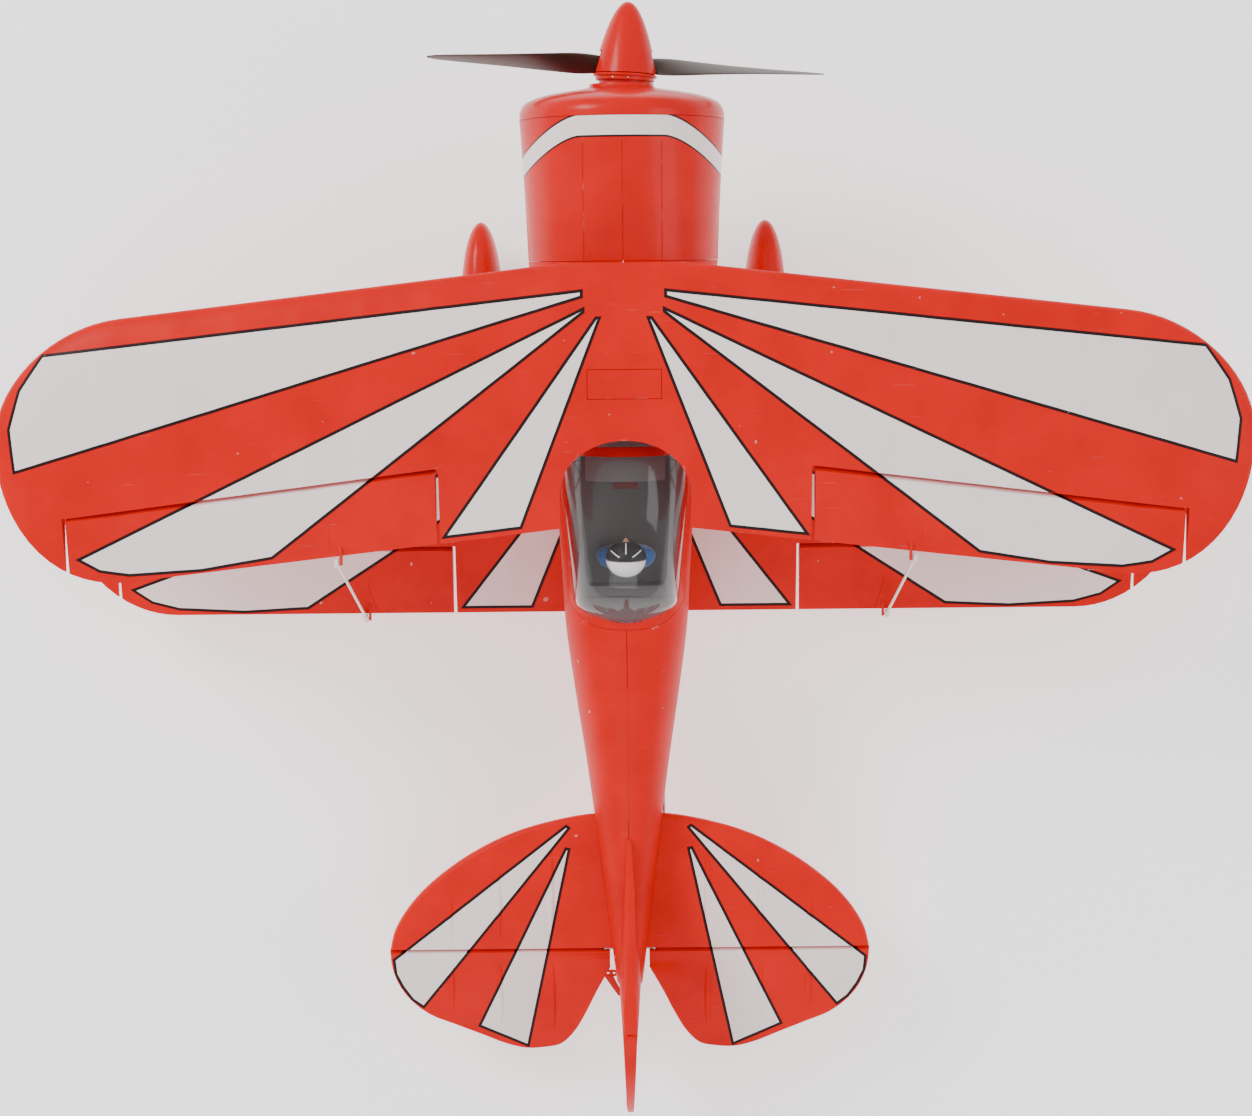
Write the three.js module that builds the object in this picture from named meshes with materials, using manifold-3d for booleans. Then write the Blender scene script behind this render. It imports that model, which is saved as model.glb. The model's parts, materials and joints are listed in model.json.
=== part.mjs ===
// Foam sport biplane, 850 mm span, standing on its three wheels.
//
// Units are millimetres and +Z is up. The aircraft is drawn level, in its own axes: the nose points
// along -Y, the left wing along +X, and the thrust line is at height 0. One outer group then tips
// it nose up on to its wheels, with the origin on the floor under the middle of its bounding box.

import * as THREE from 'three';
import { mergeVertices } from 'three/addons/utils/BufferGeometryUtils.js';
import Module from 'manifold-3d';

const wasm = await Module();
wasm.setup();

// ---- Driving dimensions -------------------------------------------------------------------

const GAP = 0.3; // between pieces that touch
const LEFT = 1;
const RIGHT = -1;

// Wings: both have the same chord, section and half-ellipse tips.
const HALF_SPAN = 425;
const TIP_LENGTH = 87;
const CHORD = 178;
const SECTION_THICKNESS = 0.115; // of the chord
const SECTION_CAMBER = 0.02; // of the chord
const CAMBER_PLACE = 0.4; // of the chord
const EDGE_HALF_THICKNESS = 0.8; // trailing edge
const UPPER_WING = { lead: -218, sweep: 0.115, height: 100, tipApex: -93, flatCentre: 40 };
const LOWER_WING = { lead: -130, sweep: 0, height: -58, tipApex: -55, flatCentre: 0 };
const CUTOUT = { halfWidth: 44.3, depth: 36, centreY: -59 };
const WING_PLATE = { halfWidth: 25, front: -143, back: -123, floor: 110 };

// Ailerons hinge on the camber line of their wing.
const UPPER_AILERON = { wing: UPPER_WING, inner: 128, outer: 378, hingeY: -76.3, hingeSlope: 0.125 };
const LOWER_AILERON = { wing: LOWER_WING, inner: 130, outer: 380, hingeY: -2.5, hingeSlope: 0 };
const HINGE_GAP = 0.8;
const END_GAP = 1.5;
const AILERON_BEVEL = THREE.MathUtils.degToRad(24);
const RUDDER_BEVEL = THREE.MathUtils.degToRad(34);

// Linkages: every arm and its horn have the same length and direction, so each rod stays parallel.
const LINK_X = 196.5;
const LINK_ARM = 54.3;
const LINK_DROP = -2.6; // ball below the hinge line
const HORN_X = 219;
const HORN_DROP = -14;
const SERVO_SHAFT = { y: -57, z: -59 };
const SERVO_CASE = { inner: 205, outer: 217, half: 6, ears: 13.4 };
const PIN_RADIUS = 0.8;
const EYE = { inner: 1.3, outer: 2.8, thickness: 2.4 };
const BLADE = 1.6; // thickness of horns and arms
const EYE_OFFSET = 2.6; // rod plane to blade plane

// Fuselage stations: y, half width, top, bottom, squareness of the section.
const STATIONS = [
  { y: -214, half: 67.3, top: 66, bottom: -73, square: 2.3 },
  { y: -120, half: 57.2, top: 60, bottom: -73, square: 2.7 },
  { y: -60, half: 50.8, top: 58, bottom: -72.5, square: 3.1 },
  { y: 0, half: 46.5, top: 57, bottom: -71, square: 3.1 },
  { y: 45, half: 44.2, top: 57, bottom: -68, square: 2.9 },
  { y: 88, half: 38.9, top: 53, bottom: -62, square: 2.6 },
  { y: 148, half: 30.3, top: 45, bottom: -52, square: 2.4 },
  { y: 210, half: 22.5, top: 36, bottom: -40, square: 2.3 },
  { y: 260, half: 16.6, top: 29, bottom: -31.3, square: 2.2 },
  { y: 316, half: 9.8, top: 21, bottom: -22, square: 2.2 },
];
const WALL = 5;
const CAVITY_END = 262;
const NOSE_BLOCK = { front: -264, half: 48, top: 46, bottom: -50 };

// Cowl and power unit.
const COWL_FRONT = -312;
const COWL_RADIUS = 72.3;
const COWL_WALL = 2.2;
const FIREWALL = { back: -264.3, thickness: 4, half: 50, top: 48, bottom: -52 };
const THRUST_PIVOT_Y = -294;
const RIGHT_THRUST = THREE.MathUtils.degToRad(3);
const SPINNER = { back: 48.5, length: 51.5, radius: 22.5, wall: 1.4 }; // back: ahead of the pivot
const PROP = { radius: 139.7, centre: 56, pitch: 140, hubRadius: 10 };

// Canopy and cockpit.
const HATCH = { front: -122, floor: 36, rampStart: 22 };
const GLASS_WALL = 1.2;
const GLASS_SPRING = 40; // height where the bubble starts to curve in
const COCKPIT_FLOOR = 18;

// Tail.
const STAB_HALF_THICKNESS = 4.5;
const ELEVATOR_HINGE_Y = 292;
const RUDDER_HINGE_Y = 317;
const RUDDER_HORN = { z: -18, arm: [21, 1] };
const RUDDER_SERVO = { x: 0, y: 74 };
const ELEVATOR_HORN = { x: -24, drop: -16 };
const ELEVATOR_SERVO = { y: 70, z: 0 };

// Landing gear and stance.
const TRACK_HALF = 110;
const AXLE = { y: -195, z: -150, radius: 2 };
const TYRE = { radius: 27, halfWidth: 8 };
const TAIL_AXLE_Y = 350;
const TAIL_TYRE = { radius: 9, halfWidth: 3.5 };
const TAIL_PIVOT_Y = 338;
const STANCE = THREE.MathUtils.degToRad(10.5);
const CENTRE_SHIFT_Y = -8.4;

const heightOnFloor = (y, z) => z * Math.cos(STANCE) - y * Math.sin(STANCE);
const LIFT = TYRE.radius - heightOnFloor(AXLE.y, AXLE.z);
const TAIL_AXLE_Z = (TAIL_TYRE.radius - LIFT + TAIL_AXLE_Y * Math.sin(STANCE)) / Math.cos(STANCE);

// ---- Finishes -----------------------------------------------------------------------------

const FINISHES = {
  redFoam: { color: 0xe8281c, roughness: 0.45, metalness: 0 },
  redPlastic: { color: 0xe02418, roughness: 0.3, metalness: 0 },
  blackPlastic: { color: 0x222021, roughness: 0.4, metalness: 0 },
  whitePlastic: { color: 0xefe9df, roughness: 0.4, metalness: 0 },
  glass: { color: 0x8f8c8c, roughness: 0.05, metalness: 0, transparent: true, opacity: 0.35 },
  cockpit: { color: 0x57504f, roughness: 0.7, metalness: 0 },
  pilot: { color: 0x2a5fa8, roughness: 0.6, metalness: 0 },
  steel: { color: 0xb8babd, roughness: 0.3, metalness: 1 },
  aluminium: { color: 0xc9cbce, roughness: 0.35, metalness: 1 },
  plywood: { color: 0xc79a62, roughness: 0.7, metalness: 0 },
  copper: { color: 0xa96a3d, roughness: 0.4, metalness: 1 },
  battery: { color: 0x2b4c8c, roughness: 0.5, metalness: 0 },
  rubber: { color: 0x1a1a1a, roughness: 0.85, metalness: 0 },
};

// ---- Solids -------------------------------------------------------------------------------

/** Turns a closed geometry into a solid, whichever way its triangles are wound. */
function solid(geometry) {
  const bare = geometry.clone();
  bare.deleteAttribute('normal');
  bare.deleteAttribute('uv');
  const merged = mergeVertices(bare, 1e-4);
  const points = merged.attributes.position;
  const triangles = Uint32Array.from(merged.index.array);
  const corner = (i) => new THREE.Vector3().fromBufferAttribute(points, triangles[i]);
  let volume = 0;
  for (let i = 0; i < triangles.length; i += 3) {
    volume += corner(i).dot(corner(i + 1).cross(corner(i + 2)));
  }
  if (volume < 0) triangles.reverse();
  const vertProperties = Float32Array.from(points.array);
  return new wasm.Manifold(new wasm.Mesh({ numProp: 3, vertProperties, triVerts: triangles }));
}

/** Adds solids to the first one. */
const join = (first, ...others) => others.reduce((sum, other) => sum.add(other), first);

/** Cuts solids away from the first one. */
const cut = (first, ...others) => others.reduce((rest, other) => rest.subtract(other), first);

/** A named mesh made from a solid. */
function piece(name, body, finish) {
  const { vertProperties, triVerts } = body.getMesh();
  const geometry = new THREE.BufferGeometry();
  geometry.setAttribute('position', new THREE.BufferAttribute(vertProperties, 3));
  geometry.setIndex(new THREE.BufferAttribute(triVerts, 1));
  geometry.computeVertexNormals();
  const mesh = new THREE.Mesh(geometry, new THREE.MeshStandardMaterial(FINISHES[finish]));
  mesh.name = name;
  return mesh;
}

/** A box between two corners, given in any order. */
function box(x0, x1, y0, y1, z0, z1) {
  const size = [Math.abs(x1 - x0), Math.abs(y1 - y0), Math.abs(z1 - z0)];
  const shape = new THREE.BoxGeometry(...size);
  return solid(shape.translate((x0 + x1) / 2, (y0 + y1) / 2, (z0 + z1) / 2));
}

/** A cylinder or cone between two points. */
function rod(from, to, radius, sides = 16, endRadius = radius) {
  const start = new THREE.Vector3(...from);
  const end = new THREE.Vector3(...to);
  const along = end.clone().sub(start);
  const shape = new THREE.CylinderGeometry(endRadius, radius, along.length(), sides);
  const turn = new THREE.Quaternion();
  turn.setFromUnitVectors(new THREE.Vector3(0, 1, 0), along.clone().normalize());
  shape.applyQuaternion(turn);
  const middle = start.add(end).multiplyScalar(0.5);
  return solid(shape.translate(middle.x, middle.y, middle.z));
}

/** An ellipsoid. */
function ball(centre, radii, steps = 16) {
  const shape = new THREE.SphereGeometry(1, steps, steps / 2);
  return solid(shape.scale(...radii).translate(...centre));
}

/** A closed polygon pushed along Z between two heights. */
function prismZ(points, z0, z1) {
  const shape = new THREE.Shape(points.map(([x, y]) => new THREE.Vector2(x, y)));
  const geometry = new THREE.ExtrudeGeometry(shape, { depth: z1 - z0, bevelEnabled: false });
  return solid(geometry.translate(0, 0, z0));
}

/** A closed polygon given as [y, z] points, pushed along X. */
function prismX(points, x0, x1) {
  const shape = new THREE.Shape(points.map(([y, z]) => new THREE.Vector2(y, z)));
  const geometry = new THREE.ExtrudeGeometry(shape, { depth: x1 - x0, bevelEnabled: false });
  const axes = new THREE.Matrix4().set(0, 0, 1, x0, 1, 0, 0, 0, 0, 1, 0, 0, 0, 0, 0, 1);
  return solid(geometry.applyMatrix4(axes));
}

/** A closed polygon given as [x, z] points, pushed along Y. */
function prismY(points, y0, y1) {
  const shape = new THREE.Shape(points.map(([x, z]) => new THREE.Vector2(x, z)));
  const geometry = new THREE.ExtrudeGeometry(shape, { depth: y1 - y0, bevelEnabled: false });
  const axes = new THREE.Matrix4().set(1, 0, 0, 0, 0, 0, -1, y1, 0, 1, 0, 0, 0, 0, 0, 1);
  return solid(geometry.applyMatrix4(axes));
}

/** A turned solid about Z, from [radius, z] points that start and end on the axis or close. */
function turned(points, sides = 28) {
  return solid(new THREE.LatheGeometry(points.map(([r, z]) => new THREE.Vector2(r, z)), sides)
    .rotateX(Math.PI / 2));
}

/** A solid through flat rings with equal point counts; `flat` drops a point to two coordinates. */
function loft(rings, flat) {
  const count = rings[0].length;
  const positions = rings.flat(2);
  const indices = [];
  for (let ring = 0; ring < rings.length - 1; ring++) {
    for (let i = 0; i < count; i++) {
      const a = ring * count + i;
      const b = ring * count + ((i + 1) % count);
      indices.push(a, b, b + count, a, b + count, a + count);
    }
  }
  const last = (rings.length - 1) * count;
  for (const [a, b, c] of THREE.ShapeUtils.triangulateShape(rings[0].map(flat), [])) {
    indices.push(...capOrder(a, b, c, rings[0], 0, flat));
  }
  for (const [a, b, c] of THREE.ShapeUtils.triangulateShape(rings.at(-1).map(flat), [])) {
    indices.push(...capOrder(c, b, a, rings.at(-1), last, flat));
  }
  const geometry = new THREE.BufferGeometry();
  geometry.setAttribute('position', new THREE.Float32BufferAttribute(positions, 3));
  geometry.setIndex(indices);
  return solid(geometry);
}

/** Winds a cap triangle against its ring's own turn, so that the cap closes the loft. */
function capOrder(a, b, c, ring, offset, flat) {
  const clockwise = THREE.ShapeUtils.isClockWise(ring.map(flat));
  const order = clockwise ? [a, b, c] : [c, b, a];
  return order.map((i) => i + offset);
}

const acrossX = ([, y, z]) => new THREE.Vector2(y, z);
const acrossY = ([x, , z]) => new THREE.Vector2(x, z);
const acrossZ = ([x, y]) => new THREE.Vector2(x, y);

/** Linear reading of a table of {y, ...} rows. */
function between(rows, y, key) {
  const next = Math.max(1, rows.findIndex((row) => row.y >= y));
  const index = rows.at(-1).y < y ? rows.length - 1 : next;
  const [before, after] = [rows[index - 1], rows[index]];
  const share = (y - before.y) / (after.y - before.y);
  return before[key] + (after[key] - before[key]) * share;
}

// ---- Wings --------------------------------------------------------------------------------

/** Leading and trailing edge of a wing at a spanwise place, with the half-ellipse tip. */
function wingEdges(wing, x) {
  const out = Math.abs(x);
  const shift = wing.sweep * Math.max(out, wing.flatCentre);
  const inTip = Math.max(0, (out - (HALF_SPAN - TIP_LENGTH)) / TIP_LENGTH);
  const pinch = Math.sqrt(Math.max(0, 1 - inTip * inTip));
  const toApex = (y) => wing.tipApex + (y - wing.tipApex) * pinch;
  return { lead: toApex(wing.lead + shift), trail: toApex(wing.lead + CHORD + shift) };
}

/** Height of the camber line above the chord line, as a share of the chord. */
function camber(s) {
  const p = CAMBER_PLACE;
  if (s < p) return (SECTION_CAMBER / (p * p)) * (2 * p * s - s * s);
  return (SECTION_CAMBER / ((1 - p) * (1 - p))) * (1 - 2 * p + 2 * p * s - s * s);
}

/** Half thickness of the section, as a share of the chord. */
function halfThickness(s) {
  const curve = 0.2969 * Math.sqrt(s) - 0.126 * s - 0.3516 * s ** 2 + 0.2843 * s ** 3 - 0.1036 * s ** 4;
  return 5 * SECTION_THICKNESS * curve;
}

/** The wing section at x as a ring of points, made `grow` larger all round. */
function wingRing(wing, x, grow) {
  const { lead, trail } = wingEdges(wing, x);
  const chord = trail - lead;
  const steps = 9;
  const ring = [];
  for (let i = -steps; i <= steps; i++) {
    const s = (1 - Math.cos((Math.PI * i) / steps)) / 2;
    const side = i < 0 ? -1 : 1;
    const edge = EDGE_HALF_THICKNESS * s * Math.min(1, chord / CHORD + 0.2);
    const thick = i === 0 ? 0 : chord * halfThickness(s) + edge + grow;
    const y = lead - grow + s * (chord + 2 * grow);
    ring.push([x, y, wing.height + chord * camber(s) + side * thick]);
  }
  return ring;
}

/** A whole wing, tip to tip. */
function wingBlank(wing, grow = 0) {
  const tip = [0, 15, 30, 45, 58, 69, 78, 85, 89].map((angle) =>
    HALF_SPAN - TIP_LENGTH + (TIP_LENGTH + grow) * Math.sin(THREE.MathUtils.degToRad(angle)));
  const centre = wing.flatCentre > 0 ? [-wing.flatCentre, wing.flatCentre] : [0];
  const places = [...tip.map((x) => -x).reverse(), ...centre, ...tip];
  return loft(places.map((x) => wingRing(wing, x, grow)), acrossX);
}

const hingeAt = (aileron, out) => aileron.hingeY + aileron.hingeSlope * (out - aileron.inner);

/** Height of the hinge line: the camber line at the hinge. */
function hingeHeight(aileron) {
  const { lead } = wingEdges(aileron.wing, aileron.inner);
  return aileron.wing.height + CHORD * camber((aileron.hingeY - lead) / CHORD);
}

/** Plan of the aileron with its hinge side moved forward by `ahead` and its ends by `wider`. */
function aileronPlan(aileron, side, ahead, wider) {
  const inner = aileron.inner - wider;
  const outer = aileron.outer + wider;
  const back = aileron.hingeY + 120;
  const corners = [[inner, hingeAt(aileron, inner) - ahead], [outer, hingeAt(aileron, outer) - ahead],
    [outer, back], [inner, back]];
  return corners.map(([x, y]) => [side * x, y]);
}

/** The space that the aileron and its gaps need, to be cut from the wing. */
const aileronBay = (aileron, side) => prismZ(aileronPlan(aileron, side, HINGE_GAP, END_GAP),
  aileron.wing.height - 40, aileron.wing.height + 40);

/** Wedge in front of the bevelled nose, above (+1) or below (-1) the hinge line. */
function noseWedge(aileron, side, up) {
  const reach = 30;
  const z = hingeHeight(aileron);
  const tops = [aileron.inner - 5, aileron.outer + 5].map((out) => {
    const y = hingeAt(aileron, out);
    const far = [[y - reach, z], [y, z], [y + reach * Math.tan(AILERON_BEVEL), z + up * reach],
      [y - reach, z + up * reach]];
    return far.map(([py, pz]) => [side * out, py, pz]);
  });
  return loft(tops, acrossX);
}

/** Point on the hinge line from which the link's ball stands square. */
function linkBall(aileron, side) {
  const turn = Math.atan(aileron.hingeSlope);
  const foot = LINK_X + LINK_ARM * Math.sin(turn);
  const y = hingeAt(aileron, foot) + LINK_ARM * Math.cos(turn);
  return { x: side * LINK_X, y, z: hingeHeight(aileron) + LINK_DROP };
}

/** A flat blade in a plane of constant x, round at both ends. */
function bladeX(x, from, to, rootRadius, tipRadius) {
  const half = BLADE / 2;
  const ends = join(rod([x - half, ...from], [x + half, ...from], rootRadius, 14),
    rod([x - half, ...to], [x + half, ...to], tipRadius, 14));
  return ends.hull();
}

/** Pin on a blade that takes a rod's eye, pointing along X away from the centre line. */
const pinX = (x, y, z, side) => rod([x, y, z], [x + side * (EYE_OFFSET + 2), y, z], PIN_RADIUS, 12);

/** Ball horn behind the trailing edge that takes the link between the wings. */
function linkHorn(aileron, side) {
  const { x, y, z } = linkBall(aileron, side);
  const plane = x - side * EYE_OFFSET;
  return join(bladeX(plane, [y - 9, z + 0.8], [y, z], 2.4, 2), pinX(plane, y, z, side));
}

/** One aileron with its horns. */
function aileron(design, side, blank, withServoHorn) {
  const z = design.wing.height;
  const plan = prismZ(aileronPlan(design, side, 0, 0), z - 40, z + 40);
  const wedges = [noseWedge(design, side, 1), noseWedge(design, side, -1)];
  const panel = cut(blank.intersect(plan), ...wedges);
  const parts = [panel, linkHorn(design, side)];
  if (withServoHorn) {
    const axis = hingeHeight(design);
    const hole = [design.hingeY, axis + HORN_DROP];
    const blade = bladeX(side * HORN_X, [design.hingeY + 11, axis - 4], hole, 5, 3);
    parts.push(blade, pinX(side * HORN_X, ...hole, side));
  }
  return join(...parts);
}

/** A rod with an eye at each end; `pin` is the unit direction of both pins. */
function eyeRod(from, to, pin, radius) {
  const eyeAt = (point, eyeRadius, thickness) => {
    const half = new THREE.Vector3(...pin).multiplyScalar(thickness / 2);
    const centre = new THREE.Vector3(...point);
    return rod(centre.clone().sub(half).toArray(), centre.add(half).toArray(), eyeRadius, 12);
  };
  const start = new THREE.Vector3(...from);
  const end = new THREE.Vector3(...to);
  const inset = end.clone().sub(start).setLength(EYE.inner + 0.5);
  const shaft = rod(start.add(inset).toArray(), end.sub(inset).toArray(), radius, 8);
  const outside = [from, to].map((point) => eyeAt(point, EYE.outer, EYE.thickness));
  const bores = [from, to].map((point) => eyeAt(point, EYE.inner, EYE.thickness + 2));
  return cut(join(shaft, ...outside), ...bores);
}

// ---- Fuselage -----------------------------------------------------------------------------

/** One closed section: a superellipse with its widest place on the thrust line. */
function bodyRing(y, half, top, bottom, square, points = 28) {
  const ring = [];
  for (let i = 0; i < points; i++) {
    const angle = (2 * Math.PI * i) / points;
    const [c, s] = [Math.cos(angle), Math.sin(angle)];
    const x = half * Math.sign(c) * Math.abs(c) ** (2 / square);
    const height = s > 0 ? top : -bottom;
    ring.push([x, y, height * Math.sign(s) * Math.abs(s) ** (2 / square)]);
  }
  return ring;
}

/** The fuselage's outer shape, made `grow` larger, over a stretch of its length. */
function bodyBlank(grow = 0, from = STATIONS[0].y, to = STATIONS.at(-1).y) {
  const inside = STATIONS.map((row) => row.y).filter((y) => y > from && y < to);
  const rings = [from, ...inside, to].map((y) => {
    const at = (key) => between(STATIONS, y, key);
    return bodyRing(y, at('half') + grow, at('top') + grow, at('bottom') - grow, at('square'));
  });
  return loft(rings, acrossY);
}

/** The nose block that the firewall closes, inside the cowl. */
function noseBlock(grow) {
  const { front, half, top, bottom } = NOSE_BLOCK;
  const ring = (y) => bodyRing(y, half + grow, top + grow, bottom - grow, 2.6);
  const [ahead, behind] = grow < 0 ? [WALL, WALL + 3] : [0, 3];
  return loft([ring(front - ahead), ring(STATIONS[0].y + behind)], acrossY);
}

/** The space of the canopy hatch: flat floor, 45 degree ramp at the back, rounded front. */
function hatchSpace(grow) {
  const ramp = 60;
  const { floor, rampStart, front } = HATCH;
  const shift = grow * Math.SQRT2;
  const profile = [[front - 20, floor - grow], [rampStart + shift - grow, floor - grow],
    [rampStart + ramp + shift - grow, floor + ramp - grow], [front - 20, floor + ramp - grow]];
  const plan = [[0, front], [26, front + 2], [40, front + 18], [47, -84], [49.5, -62], [49.5, 60]];
  const wide = plan.map(([x, y], i) => [x + (i > 1 ? grow : 0), y - grow]);
  const outline = [...wide, ...wide.slice(1).reverse().map(([x, y]) => [-x, y])];
  return prismX(profile, -60, 60).intersect(prismZ(outline, floor - 10, floor + ramp));
}

/** Stations of the canopy glass: y, half width at the base, height of the top. */
const GLASS_ROWS = [
  { y: -118, half: 20, top: 62 },
  { y: -112, half: 29, top: 67.5 },
  { y: -100, half: 37, top: 76 },
  { y: -84, half: 42, top: 87 },
  { y: -62, half: 43.8, top: 92 },
  { y: -30, half: 41.5, top: 93.5 },
  { y: 0, half: 38.5, top: 90 },
  { y: 18, half: 36, top: 81 },
  { y: 27, half: 32, top: 73 },
  { y: 37, half: 12, top: 62 },
];

/** The canopy bubble, made `grow` larger, from its base up. */
function bubble(grow, base) {
  const rows = GLASS_ROWS.map((row, i) => {
    const end = i === 0 ? -1 : Number(i === GLASS_ROWS.length - 1);
    return { y: row.y + end * grow, half: row.half + grow, top: row.top + grow };
  });
  const arc = 12;
  const rings = rows.map(({ y, half, top }) => {
    const ring = [[half, y, base], [-half, y, base]];
    for (let i = 0; i <= arc; i++) {
      const angle = Math.PI * (1 - i / arc);
      const [c, s] = [Math.cos(angle), Math.sin(angle)];
      const x = half * Math.sign(c) * Math.abs(c) ** 0.8;
      ring.push([x, y, GLASS_SPRING + (top - GLASS_SPRING) * Math.max(s, 0) ** 0.8]);
    }
    return ring;
  });
  return loft(rings, acrossY);
}

// ---- Tail ---------------------------------------------------------------------------------

/** Plan of the stabiliser, left half, from the centre out along the leading edge. */
const STAB_EDGE = [[0, 189], [30, 190], [57, 195], [84, 203], [115, 218], [137, 233], [154, 248],
  [167, 264], [175, 279], [178, 291.2]];
/** Plan of the left elevator behind its hinge. */
const ELEVATOR_EDGE = [[178.2, 292], [178, 299], [176, 310], [168, 326], [150, 342], [131, 350],
  [111, 358], [91, 366], [78, 369], [64, 368.5], [52, 366], [43, 358], [33, 342], [25, 326],
  [14.5, 307], [14.5, 292]];

/** A flat tail plate with a smaller top and bottom outline, so that its edges look rounded. */
function plate(outline, half, inset) {
  const centre = outline.reduce(([a, b], [x, y]) => [a + x / outline.length, b + y / outline.length],
    [0, 0]);
  const pulled = (share, z) => outline.map(([x, y]) => {
    const [dx, dy] = [x - centre[0], y - centre[1]];
    const length = Math.hypot(dx, dy);
    return [x - (dx / length) * share, y - (dy / length) * share, z];
  });
  const rings = [pulled(inset, -half), pulled(0, -half * 0.45), pulled(0, half * 0.45), pulled(inset, half)];
  return loft(rings, acrossZ);
}

const mirrored = (points, side) => points.map(([x, y]) => [side * x, y]);

/** The stabiliser in one piece from tip to tip. */
function stabBlank(grow = 0) {
  const right = STAB_EDGE.slice(1).reverse().map(([x, y]) => [-x, y]);
  const outline = [...STAB_EDGE, ...right];
  const blank = plate(outline, STAB_HALF_THICKNESS + grow, grow > 0 ? 0 : 3);
  return grow > 0 ? join(blank, box(-40, 40, 186, 292, -STAB_HALF_THICKNESS - grow,
    STAB_HALF_THICKNESS + grow)) : blank;
}

/** One elevator half: bevelled nose on the hinge, thin trailing edge. */
function elevator(side) {
  const hinge = ELEVATOR_HINGE_Y;
  const tan = Math.tan(AILERON_BEVEL);
  const half = STAB_HALF_THICKNESS - 0.3;
  const wedge = [[hinge + 0.3, 0], [hinge + 0.3 + half * tan, half], [hinge + 80, 1.4],
    [hinge + 80, -1.4], [hinge + 0.3 + half * tan, -half]];
  const plan = prismZ(mirrored(ELEVATOR_EDGE, side), -10, 10);
  const notch = box(side * 14, side * 21, hinge - 2, hinge + 6, -10, 10);
  const slot = box(side * 14, side * 21, hinge, hinge + 14.5, -2, 2);
  const hole = rod([side * 14, hinge + 12, 0], [side * 22.9, hinge + 12, 0], 1.8, 12);
  return cut(prismX(wedge, -200, 200).intersect(plan), notch, slot, hole);
}

const FIN_OUTLINE = [[190, 30], [205, 44], [235, 72], [262, 96], [280, 109], [298, 116.5],
  [316.2, 118], [316.2, -10], [200, -10]];
const RUDDER_OUTLINE = [[317, 118], [330, 117], [347, 111], [366, 98], [383, 80], [396, 60],
  [404, 38], [406, 20], [402, 2], [392, -10], [370, -19], [345, -22], [317, -22]];

// ---- Left and right pairs -----------------------------------------------------------------

/** An N strut: two legs and a diagonal, as [y, z] ends, in planes that lean from x0 to x1. */
function strutN(x0, x1, front, back, radius) {
  const low = ([y, z]) => [x0, y, z];
  const high = ([y, z]) => [x1, y, z];
  const leg = (a, b) => rod(a, b, radius, 10);
  return join(leg(low(front[0]), high(front[1])), leg(low(back[0]), high(back[1])),
    leg(low(front[0]), high(back[1])));
}

/** Landing gear leg: a bent aluminium strap with its axle. */
function gearLeg(side) {
  const { y, z, radius } = AXLE;
  const strap = [[4, -77.9], [32.5, -77.9], [90.2, -137], [90.2, -157], [93, -157], [93, -135.8],
    [33.7, -75.1], [4, -75.1]];
  const profile = strap.map(([x, h]) => [side * x, h]);
  const blank = prismY(profile, y - 12, y + 12);
  const taper = [[-12, -70], [12, -70], [7, -160], [-7, -160]].map(([dy, h]) => [y + dy, h]);
  const axle = rod([side * 92, y, z], [side * (TRACK_HALF + 11), y, z], radius, 20);
  return join(blank.intersect(prismX(taper, -130, 130)), axle);
}

/** Wheel pant outline rows: y, half width, half height, middle height. */
const PANT_ROWS = [0, 0.06, 0.16, 0.3, 0.5, 0.66, 0.82, 0.94, 1].map((s) => {
  const nose = Math.sqrt(Math.max(0, 1 - ((0.5 - s) / 0.5) ** 2));
  const shape = s < 0.5 ? nose : 1 - ((s - 0.5) / 0.5) ** 2 * 0.93;
  return { y: -244 + 124 * s, share: Math.max(shape, 0.04), middle: -143 + 9 * Math.max(0, s - 0.4) };
});

function pantBlank(side, grow) {
  const rings = PANT_ROWS.map(({ y, share, middle }, i) => {
    const end = i === 0 ? -1 : Number(i === PANT_ROWS.length - 1);
    const half = Math.max(16 * share + grow, 0.3);
    const tall = Math.max(27 * (share ** 0.8) + grow, 0.6);
    return bodyRing(y + end * grow, half, tall, -tall, 2.4, 14)
      .map(([x, py, z]) => [side * TRACK_HALF + x, py, z + middle]);
  });
  return loft(rings, acrossY);
}

function wheelPant(side) {
  const { y, z } = AXLE;
  const well = box(side * TRACK_HALF - 11, side * TRACK_HALF + 11, y - 30, y + 30, -190, -150);
  const hole = rod([side * 90, y, z], [side * TRACK_HALF, y, z], 2.6, 16);
  return cut(pantBlank(side, 0), pantBlank(side, -2), well, hole);
}

/** A tyre and hub in one, turned about X, with a bore. */
function wheel(x, y, z, { radius, halfWidth }, bore, sides) {
  const round = Math.min(halfWidth, radius * 0.4);
  const profile = [[bore, -halfWidth], [radius * 0.45, -halfWidth * 0.7],
    [radius * 0.62, -halfWidth * 0.95]];
  for (let i = -2; i <= 2; i++) {
    const angle = (i * Math.PI) / 5.5;
    profile.push([radius - round * (1 - Math.cos(angle)), halfWidth * Math.sin(angle) * 0.95]);
  }
  profile.push([radius * 0.62, halfWidth * 0.95], [radius * 0.45, halfWidth * 0.7],
    [bore, halfWidth], [bore, -halfWidth]);
  const geometry = new THREE.LatheGeometry(profile.map(([r, h]) => new THREE.Vector2(r, h)), sides);
  return solid(geometry.rotateZ(Math.PI / 2).translate(x, y, z));
}

// ---- Power unit, turned about its own Z with the thrust pointing along +Z -----------------

/** Outer radius of the spinner at a height above its back. */
const spinnerRadius = (h) => SPINNER.radius * Math.sqrt(1 - (h / SPINNER.length) ** 1.7);

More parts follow.
